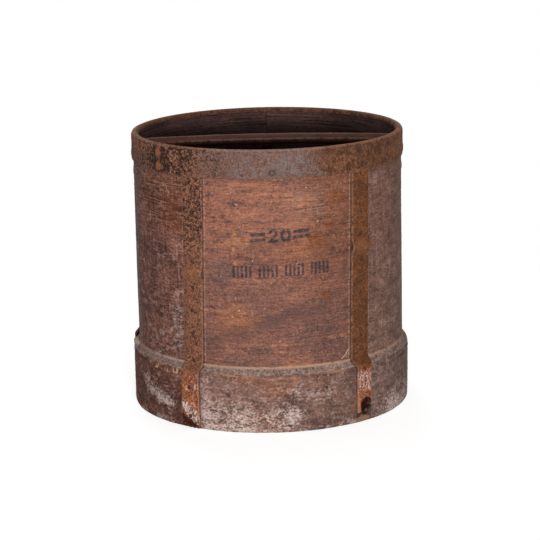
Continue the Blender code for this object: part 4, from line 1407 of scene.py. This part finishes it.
    # Rot round the feet of the straps, the open pit under the torn one, knots and a nail hole
    gap = paint.strap_gap()
    rust = paint.ramp(gap, 0.0050, 0.0) * paint.ramp(powder, 0.38, 0.58)
    paint.coat(rust * 0.40, (0.190, 0.085, 0.045))
    # Painted shadow: a dark line along each strap's edge
    paint.coat(paint.ramp(gap, 0.0010, 0.0003) * 0.65, (0.032, 0.021, 0.018))
    rot = paint.ramp(paint.pit_reach(tuft, 0.008), PIT_REACH + 0.0014, PIT_REACH - 0.0010)
    rotten = paint.mix(paint.ramp(fleck, 0.50, 0.62), (0.016, 0.005, 0.004), (0.180, 0.036, 0.012))
    paint.coat(rot * 0.96, rotten)
    seep = paint.spot(STRAP_AZIMUTH["front_right"] - 0.5, 0.0030, 0.0060, 2.4, tuft)
    paint.coat(seep * 0.65, (0.420, 0.235, 0.140))
    hole = strongest(
        paint.spot(22.5, 0.0475, 0.0019),
        paint.spot(-17.5, 0.0415, 0.0026, 1.3, tuft) * 0.8,
        paint.spot(6.9, 0.0075, 0.0018, 3.4, fleck) * 0.9,
    )
    paint.coat(hole * 0.9, (0.020, 0.014, 0.012))
    roughness = 0.74 + tuft * 0.22
    relief = fibre * 0.4 + fleck * 0.6 + speck * 0.3 + bloom * 0.3 - hole * 1.5
    return paint.done(roughness, relief, depth=0.0008, strength=0.34)


def base_wood():
    """Dark dry planks with straight grain."""
    paint = Finish("dark_base_wood", specular=0.2)
    fibre = paint.noise(paint.vector(paint.x * 14, paint.y * 420, paint.height * 120), 1.0, 4.0, 0.6)
    cloud = paint.rust(32, 4.0, 0.6, 0.4)
    mottle = paint.rust(210, 4.0, 0.65)
    paint.tone = paint.mix(paint.ramp(cloud, 0.35, 0.65), (0.115, 0.066, 0.047), (0.215, 0.124, 0.086))
    paint.dim(0.6 + fibre * 0.6 + mottle * 0.25)
    paint.coat(paint.ramp(mottle, 0.62, 0.74) * 0.4, (0.240, 0.180, 0.140))
    paint.coat(paint.ramp(fibre, 0.36, 0.28) * 0.7, (0.022, 0.014, 0.012))
    return paint.done(0.7 + mottle * 0.25, fibre * 0.7 + mottle * 0.4, depth=0.0010, strength=0.6)


def rim_iron():
    """Rusted sheet: black scale on the left, worn grey in front, orange-brown on the right."""
    paint = Finish("rusted_rim_iron", specular=0.10)
    blot = paint.rust(330, 5.0, 0.74, 0.3)
    grit = paint.rust(700, 3.0, 0.68)
    cloud = paint.rust(40, 4.0, 0.60, 0.6)
    mottle = paint.rust(120, 5.0, 0.70, 0.8)
    left = paint.by_azimuth(-12, -36) * paint.by_azimuth(-120, -100)
    centre = paint.sector(-20, 17, 11)

    paint.tone = paint.mix(paint.ramp(mottle, 0.38, 0.62), (0.085, 0.036, 0.020), (0.185, 0.078, 0.040))
    paint.coat(centre * 0.72, (0.176, 0.103, 0.088))
    paint.coat(left * 0.6, (0.262, 0.116, 0.073))
    paint.coat(paint.sector(67, 84, 5) * paint.ramp(cloud, 0.36, 0.54) * 0.5, (0.270, 0.112, 0.052))
    bright = paint.ramp(blot, 0.53, 0.68) * paint.ramp(cloud, 0.36, 0.58)
    paint.coat(bright * 0.60, (0.330, 0.135, 0.060))
    paint.coat(paint.sector(-30, -20, 5) * 0.45, (0.130, 0.082, 0.072))
    light = 1 + (grit - 0.5) * (2.8 + left * 2.4) + (blot - 0.5) * (1.2 + left * 1.2)
    paint.dim(light.most(0.3))
    worn = paint.spot(11.0, 0.2950, 0.0170, 1.7, mottle)
    worn = worn + paint.spot(-8.0, 0.2885, 0.0100, 2.2, mottle) * 0.8
    worn = worn + paint.spot(20.0, 0.2870, 0.0070, 1.8) * 0.5
    grey = (worn + centre * 0.40).least(1.0) * paint.ramp(mottle * 0.6 + blot * 0.4, 0.43, 0.56)
    paint.coat(grey * 0.72, paint.shade((0.188, 0.166, 0.164), 0.4 + grit * 1.2))
    fresh = paint.ramp(mottle * 0.4 + blot * 0.6, 0.485, 0.42) * paint.ramp(grit, 0.40, 0.60) * centre
    paint.coat(fresh * 0.62, (0.330, 0.120, 0.062))

    # Black scale, thick on the left and round the rivets
    scab = blot * 0.62 + grit * 0.38
    sparse = paint.ramp(scab, 0.445, 0.39) * (0.75 - centre * 0.50)
    lap = paint.sector(-60, -40, 5) * 0.04
    dense = paint.ramp(scab + (cloud - 0.5) * 0.28 - lap + (1 - left) * 0.05, 0.53, 0.465) * left ** 0.5
    black = sparse.most(dense)
    paint.coat(black * 0.92, (0.018, 0.012, 0.011))
    paint.coat(paint.ramp(grit, 0.68, 0.76) * 0.5, (0.420, 0.310, 0.250))

    # Rust along the lower edge, a dark upper right, a painted highlight along the crown and the lip inside
    seam_rust = paint.by_height(RIM_LOW + 0.0030, RIM_LOW + 0.0004) * paint.ramp(blot, 0.40, 0.56)
    paint.coat(seam_rust * 0.40, (0.250, 0.120, 0.070))
    top_shade = paint.by_azimuth(24, 34) * paint.by_height(0.298, 0.308) * paint.ramp(mottle, 0.58, 0.42)
    paint.coat(top_shade * 0.55, (0.050, 0.027, 0.020))
    # Painted highlight: a broken pale line along the crown, pinker in front, orange at the sides
    crown = paint.by_height(HEIGHT - 0.0026, HEIGHT - 0.0012) * paint.ramp(blot, 0.36, 0.56)
    glint = paint.mix(paint.sector(-24, 22, 6), (0.360, 0.170, 0.095), (0.400, 0.245, 0.200))
    paint.coat(crown * 0.70, glint)
    lip = paint.ramp(paint.radius, RIM_OUT - RIM_ROUND - 0.0004, RIM_OUT - RIM_ROUND - 0.0022)
    lip_rust = paint.mix(paint.ramp(mottle, 0.40, 0.62), (0.060, 0.027, 0.018), (0.135, 0.058, 0.030))
    lip_light = (1 + (grit - 0.5) * 3.2 + (blot - 0.5) * 2.0).most(0.2)
    paint.coat(lip * 0.75, paint.shade(lip_rust, lip_light))
    dip = paint.spot(-10.3, 0.2854, 0.0024)
    paint.coat(dip * 0.6, (0.036, 0.022, 0.018))

    # Dark rings round the nails, orange rivets with a dark surround and a run of rust between them
    for node in RIM_NAILS:
        ring = paint.spot(azimuth_of(node), height_of(node), 0.0050)
        paint.coat(ring * 0.65, (0.036, 0.021, 0.016))
    for azimuth in STRAP_AZIMUTH.values():
        ring = paint.spot(turn_from(azimuth + LEAN_MOST, 0.0), STRAP_CAP_NAIL, 0.0045)
        paint.coat(ring * 0.40, (0.044, 0.025, 0.018))
    for node in RIM_RIVETS:
        surround = paint.spot(azimuth_of(node) - 2.2, height_of(node), 0.0095, 0.9, blot)
        paint.coat(surround * 0.72, (0.022, 0.014, 0.012))
    run = paint.sector(-51.0, -48.8, 0.8) * paint.by_height(RIM_LOW + 0.003, RIM_LOW + 0.008)
    paint.coat(run * paint.ramp(blot, 0.38, 0.54) * 0.70, (0.290, 0.116, 0.058))
    for node in RIM_RIVETS:
        head = paint.spot(azimuth_of(node), height_of(node), 0.0060)
        orange = paint.mix(blot, (0.150, 0.050, 0.022), (0.420, 0.165, 0.082))
        paint.coat(head, paint.shade(orange, 0.40 + grit * 1.2))
    roughness = 0.66 + grit * 0.22 + black * 0.06 - grey * 0.14
    relief = blot * 0.8 + grit * 0.4
    return paint.done(roughness, relief, depth=0.0010, strength=0.45, metallic=grey * 0.15)


def strap_iron():
    """Rusted strip: speckled black at the upper left, orange-brown elsewhere, flaking on the hoop."""
    paint = Finish("rusted_strap_iron", specular=0.10)
    blot = paint.rust(310, 5.0, 0.72, 0.3)
    grit = paint.rust(760, 3.0, 0.68)
    cloud = paint.rust(55, 4.0, 0.60, 0.5)
    flake = paint.rust(200, 6.0, 0.74, 1.1)
    glint = paint.rust(330, 4.0, 0.70, 1.8)
    streak = paint.grain(420, 150, 3.0, 0.60)
    left = paint.by_azimuth(-20, -24) * paint.by_azimuth(-46, -42)
    on_hoop = paint.by_height(HOOP_TOP - 0.002, HOOP_TOP - 0.017)

    paint.tone = paint.mix(paint.ramp(cloud, 0.36, 0.64), (0.125, 0.047, 0.020), (0.180, 0.067, 0.029))
    paint.coat(left * 0.6, (0.258, 0.116, 0.076))
    bright = paint.ramp(blot, 0.53, 0.68) * paint.ramp(cloud, 0.36, 0.60)
    paint.coat(bright * 0.55, (0.320, 0.122, 0.048))
    scab = blot * 0.62 + grit * 0.38
    speckle = left * paint.by_height(0.180, 0.232)
    black = (paint.ramp(scab, 0.45, 0.39) * 0.7).most(paint.ramp(scab, 0.53, 0.46) * speckle)
    paint.coat(black * 0.90, (0.022, 0.015, 0.013))
    uneven = ((grit - 0.5) * 3.2 + (blot - 0.5) * 2.2) * (1 + left * 0.5)
    paint.dim((0.96 + uneven).most(0.3))

    # Fresh rust on the buckles
    for strap in STRAPS:
        fresh = paint.spot(STRAP_AZIMUTH[strap], buckle_of(strap) - 0.002, 0.0100, 1.5, flake)
        paint.coat(fresh * 0.35, paint.shade((0.340, 0.150, 0.072), 0.4 + grit * 1.2))

    # On the hoop: raw rust, white flakes with painted glints, black-red rot at the very foot
    raw = paint.mix(paint.ramp(flake, 0.36, 0.62), (0.135, 0.032, 0.011), (0.430, 0.128, 0.040))
    raw = paint.shade(raw, (1 + (grit - 0.5) * 2.6).most(0.3))
    paint.coat(on_hoop * paint.ramp(cloud, 0.20, 0.42) * 0.92, raw)
    deposit = strongest(
        paint.spot(-36.1, 0.0235, 0.0105, 1.1, blot),
        paint.spot(-32.6, 0.0140, 0.0120, 1.0, blot),
        paint.spot(-35.6, 0.0455, 0.0050, 1.0, blot) * 0.7,
        paint.spot(-31.2, 0.0480, 0.0050, 0.8, blot) * 0.7,
        paint.sector(30, 50, 2) * paint.level(0.0335, 0.060, 0.005) * 0.76,
        on_hoop * 0.35,
    )
    # White deposit flakes, their brightest bits painted glints
    white_flakes_and_glints = paint.ramp(glint * 0.50 + grit * 0.30 + streak * 0.20 + deposit * 0.06, 0.540, 0.585)
    paint.coat(white_flakes_and_glints * deposit * 0.95, (0.850, 0.705, 0.660))
    aslant = (paint.azimuth + 34.5).most(-3.6).least(3.6) * paint.sector(-46, -24, 2)
    ragged = paint.height + (flake - 0.5) * 0.012 + aslant * 0.0019
    rot = paint.ramp(ragged, 0.0118, 0.0092) * (1 - paint.sector(28, 52, 4))
    rot = rot.most(paint.ramp(paint.pit_reach(blot, 0.006), PIT_REACH + 0.0018, PIT_REACH))
    crumbs = paint.mix(paint.ramp(blot, 0.52, 0.63), (0.013, 0.004, 0.003), (0.260, 0.046, 0.013))
    paint.coat(rot * 0.95, crumbs)
    strip = paint.sector(35.6, 37.6, 0.3) * paint.level(0.008, 0.032, 0.003)
    paint.coat(strip * 0.75, paint.shade((0.480, 0.190, 0.085), 0.4 + grit * 1.2))

    # Painted shadow behind the loose step at the left, pale worn edges
    # Painted shadow: near black on the strap's edge behind the loose step
    hollow = paint.sector(-100, -92, 1) * paint.level(CHAMFER_LOW, HOOP_TOP + 0.0130, 0.002)
    paint.coat(hollow * 0.90, (0.012, 0.008, 0.007))
    gap = paint.strap_gap()
    edge = paint.ramp(gap, -0.0018, -0.0006) * paint.ramp(blot, 0.36, 0.54)
    paint.coat(edge * 0.40, (0.320, 0.200, 0.150))
    paint.coat(paint.ramp(grit, 0.69, 0.77) * 0.4, (0.400, 0.290, 0.230))
    roughness = 0.68 + grit * 0.22 - white_flakes_and_glints * deposit * 0.3
    relief = blot * 0.7 + grit * 0.35 + flake * on_hoop * 0.9
    return paint.done(roughness, relief, depth=0.0011, strength=0.5)


def bar_iron():
    """Dark forged bar, rusted brown on top and lighter towards the back, with painted highlights on its
    rubbed back arris and front arris, and painted near-black shade on its front face and below it.
    """
    paint = Finish("forged_bar_iron", specular=0.03)
    blot = paint.rust(260, 5.0, 0.68, 0.3)
    grit = paint.rust(800, 3.0, 0.64)
    cloud = paint.rust(36, 3.0, 0.55, 0.5)
    back_share = paint.ramp(paint.y, -BAR_HALF, BAR_HALF)
    paint.tone = paint.mix(paint.ramp(cloud, 0.36, 0.64), (0.050, 0.019, 0.012), (0.088, 0.033, 0.018))
    paint.coat(paint.ramp(blot, 0.56, 0.70) * 0.5, (0.150, 0.062, 0.032))
    paint.dim((1 + (grit - 0.5) * 3.0 + (blot - 0.5) * 2.0).most(0.2))
    paint.dim(0.72 + back_share * 0.60)
    # A pale back arris: rubbed iron with a painted highlight
    rubbed = paint.ramp(paint.y, BAR_HALF - 0.0090, BAR_HALF - 0.0060) * paint.ramp(blot, 0.30, 0.50)
    paint.coat(rubbed * 0.80, (0.190, 0.096, 0.078))
    # Painted highlight along the front arris
    depth = BAR_TOP + BAR_RISE - paint.x * paint.x * (BAR_RISE / WALL_IN ** 2) - paint.height
    arris = paint.ramp(-paint.y, BAR_HALF - 0.0050, BAR_HALF - 0.0014) * paint.ramp(depth, 0.0022, 0.0008)
    paint.coat(arris * paint.ramp(blot, 0.30, 0.52) * 0.80, (0.150, 0.084, 0.074))
    # Painted shade: near black on the front face, darker downwards, and on all below the bar's underside,
    # tabs, rod and foot plate too
    flank = paint.ramp(-paint.y, BAR_HALF - 0.0012, BAR_HALF - 0.0004) * paint.ramp(depth, 0.0006, 0.0056)
    below = paint.by_height(BAR_LOW + 0.0012, BAR_LOW - 0.0004)
    paint.coat(flank.most(below) * 0.97, (0.004, 0.0018, 0.0015))
    roughness = 0.74 + grit * 0.24 - rubbed * 0.10
    return paint.done(roughness, blot * 0.8 + grit * 0.3, depth=0.0009, strength=0.6)


def nail_iron():
    """Small forged nails, dark with rust, one of them rusted bright."""
    paint = Finish("rusted_nail_iron", specular=0.2)
    blot = paint.rust(700, 4.0, 0.64)
    cloud = paint.rust(150, 3.0)
    paint.tone = paint.mix(paint.ramp(cloud, 0.38, 0.62), (0.034, 0.018, 0.013), (0.085, 0.040, 0.024))
    paint.coat(paint.ramp(blot, 0.54, 0.68) * 0.6, (0.190, 0.080, 0.040))
    # A pale middle on each rim nail head: worn iron with a painted highlight
    for node in RIM_NAILS:
        middle = paint.spot(azimuth_of(node), height_of(node), 0.0026)
        paint.coat(middle * 0.85, (0.165, 0.110, 0.094))
    fresh = paint.spot(azimuth_of("hoop_nail_1"), height_of("hoop_nail_1"), 0.010)
    orange = paint.mix(blot, (0.260, 0.080, 0.030), (0.660, 0.270, 0.110))
    paint.coat(fresh * 0.90, orange)
    return paint.done(0.52 + blot * 0.26, blot, depth=0.0007, strength=0.5)


# Stage
CAMERA_PLACE = Vector((0.00057, -2.38217, 0.69975))
CAMERA_AIM = Vector((0.00057, 0.0, 0.14650))
CAMERA_LENS = 141.562
CAMERA_ROLL = math.radians(-1.1361)
CAMERA_SENSOR = 36.0
AMBIENT = 0.16
FLOOR_LEVEL = -0.0004
FLOOR_HALF = 8.0
FLOOR_GREY = (0.60, 0.60, 0.60)
FLOOR_GLOW = 0.72
FLOOR_NEAR = 0.28
FLOOR_FAR = 0.75

# Softboxes: name, place, size and power
LAMP_AIM = Vector((0.0, 0.0, 0.16))
LAMPS = (("front_softbox", (0.15, -2.7, 0.74), 0.9, 58.0), ("top_softbox", (0.3, 0.2, 2.4), 1.6, 5.0),
         ("back_softbox", (-0.5, 2.1, 2.1), 1.4, 20.0))


def facing_matrix(location, aim, roll=0.0):
    """Placement that looks from a location at an aim, with -Z ahead and a roll about it."""
    back = (location - aim).normalized()
    right = Vector((0.0, 0.0, 1.0)).cross(back).normalized()
    up = back.cross(right)
    rolled_right = right * math.cos(roll) + up * math.sin(roll)
    rolled_up = up * math.cos(roll) - right * math.sin(roll)
    turn = Matrix((rolled_right, rolled_up, back)).transposed()
    return Matrix.Translation(location) @ turn.to_4x4()


def add_camera():
    """Camera at the photograph's angle."""
    lens = bpy.data.cameras.new("camera")
    lens.lens = CAMERA_LENS
    lens.sensor_width = CAMERA_SENSOR
    camera = bpy.data.objects.new("camera", lens)
    bpy.context.scene.collection.objects.link(camera)
    camera.matrix_world = facing_matrix(CAMERA_PLACE, CAMERA_AIM, CAMERA_ROLL)
    bpy.context.scene.camera = camera


def add_lamp(name, location, size, power):
    """Square softbox that faces the tub."""
    lamp = bpy.data.lights.new(name, "AREA")
    lamp.size = size
    lamp.energy = power
    holder = bpy.data.objects.new(name, lamp)
    bpy.context.scene.collection.objects.link(holder)
    holder.matrix_world = facing_matrix(Vector(location), LAMP_AIM)


def seen_directly(paint):
    """1 for a ray from the camera, in a reflection or through glass."""
    kinds = ("Is Camera Ray", "Is Glossy Ray", "Is Transmission Ray")
    return strongest(*(paint.node("ShaderNodeLightPath", None, None, kind) for kind in kinds))


def add_stage():
    """White surroundings, soft lamps and a pale floor that keeps the tub's shadow."""
    world = bpy.data.worlds.new("white_room")
    world.use_nodes = True
    bpy.context.scene.world = world
    paint = Paint(world.node_tree)
    strength = seen_directly(paint) * (1 - AMBIENT) + AMBIENT
    backdrop = world.node_tree.nodes["Background"]
    backdrop.inputs["Color"].default_value = (1.0, 1.0, 1.0, 1.0)
    paint.tree.links.new(strength.socket, backdrop.inputs["Strength"])

    for lamp in LAMPS:
        add_lamp(*lamp)

    mesh = bpy.data.meshes.new("pale_floor")
    sides = ((-1, -1), (1, -1), (1, 1), (-1, 1))
    corners = [(x * FLOOR_HALF, y * FLOOR_HALF, FLOOR_LEVEL) for x, y in sides]
    mesh.from_pydata(corners, [], [(0, 1, 2, 3)])
    floor = bpy.data.objects.new("pale_floor", mesh)
    bpy.context.scene.collection.objects.link(floor)
    finish = bpy.data.materials.new("pale_floor")
    finish.use_nodes = True
    paint = Paint(finish.node_tree)
    finish.node_tree.nodes.remove(finish.node_tree.nodes["Principled BSDF"])
    seen = seen_directly(paint)
    where = paint.node("ShaderNodeTexCoord", None, None, "Object")
    away = paint.node("ShaderNodeVectorMath", {"operation": "LENGTH"}, {0: where}, "Value")
    far = paint.ramp(away, FLOOR_NEAR, FLOOR_FAR)
    matt = paint.node("ShaderNodeBsdfDiffuse", None, {"Color": FLOOR_GREY})
    glow = paint.node("ShaderNodeEmission", None, {"Strength": seen * FLOOR_GLOW})
    near_floor = paint.node("ShaderNodeAddShader", None, {0: matt, 1: glow})
    white = paint.node("ShaderNodeEmission", None, {"Strength": 1.0})
    floor_look = paint.node("ShaderNodeMixShader", None, {0: far * seen, 1: near_floor, 2: white})
    out = finish.node_tree.nodes["Material Output"]
    paint.tree.links.new(floor_look.socket, out.inputs["Surface"])
    mesh.materials.append(finish)
    bpy.context.scene.view_settings.view_transform = "Standard"


def main():
    """Camera and stage first, then the tub from the wall outwards."""
    add_camera()
    add_stage()
    make_side_wall(wall_wood())
    make_foot_hoop(hoop_wood())
    make_planks(base_wood())
    rim = rim_iron()
    make_rim_band(rim)
    strap = strap_iron()
    for order, name in enumerate(STRAPS):
        make_strap(name, STRAP_SEED + STRAP_SEED_STEP * order, strap)
    bar = bar_iron()
    nail = nail_iron()
    make_crossbar(bar)
    make_rod(bar, nail)
    make_fasteners(nail, rim)


main()
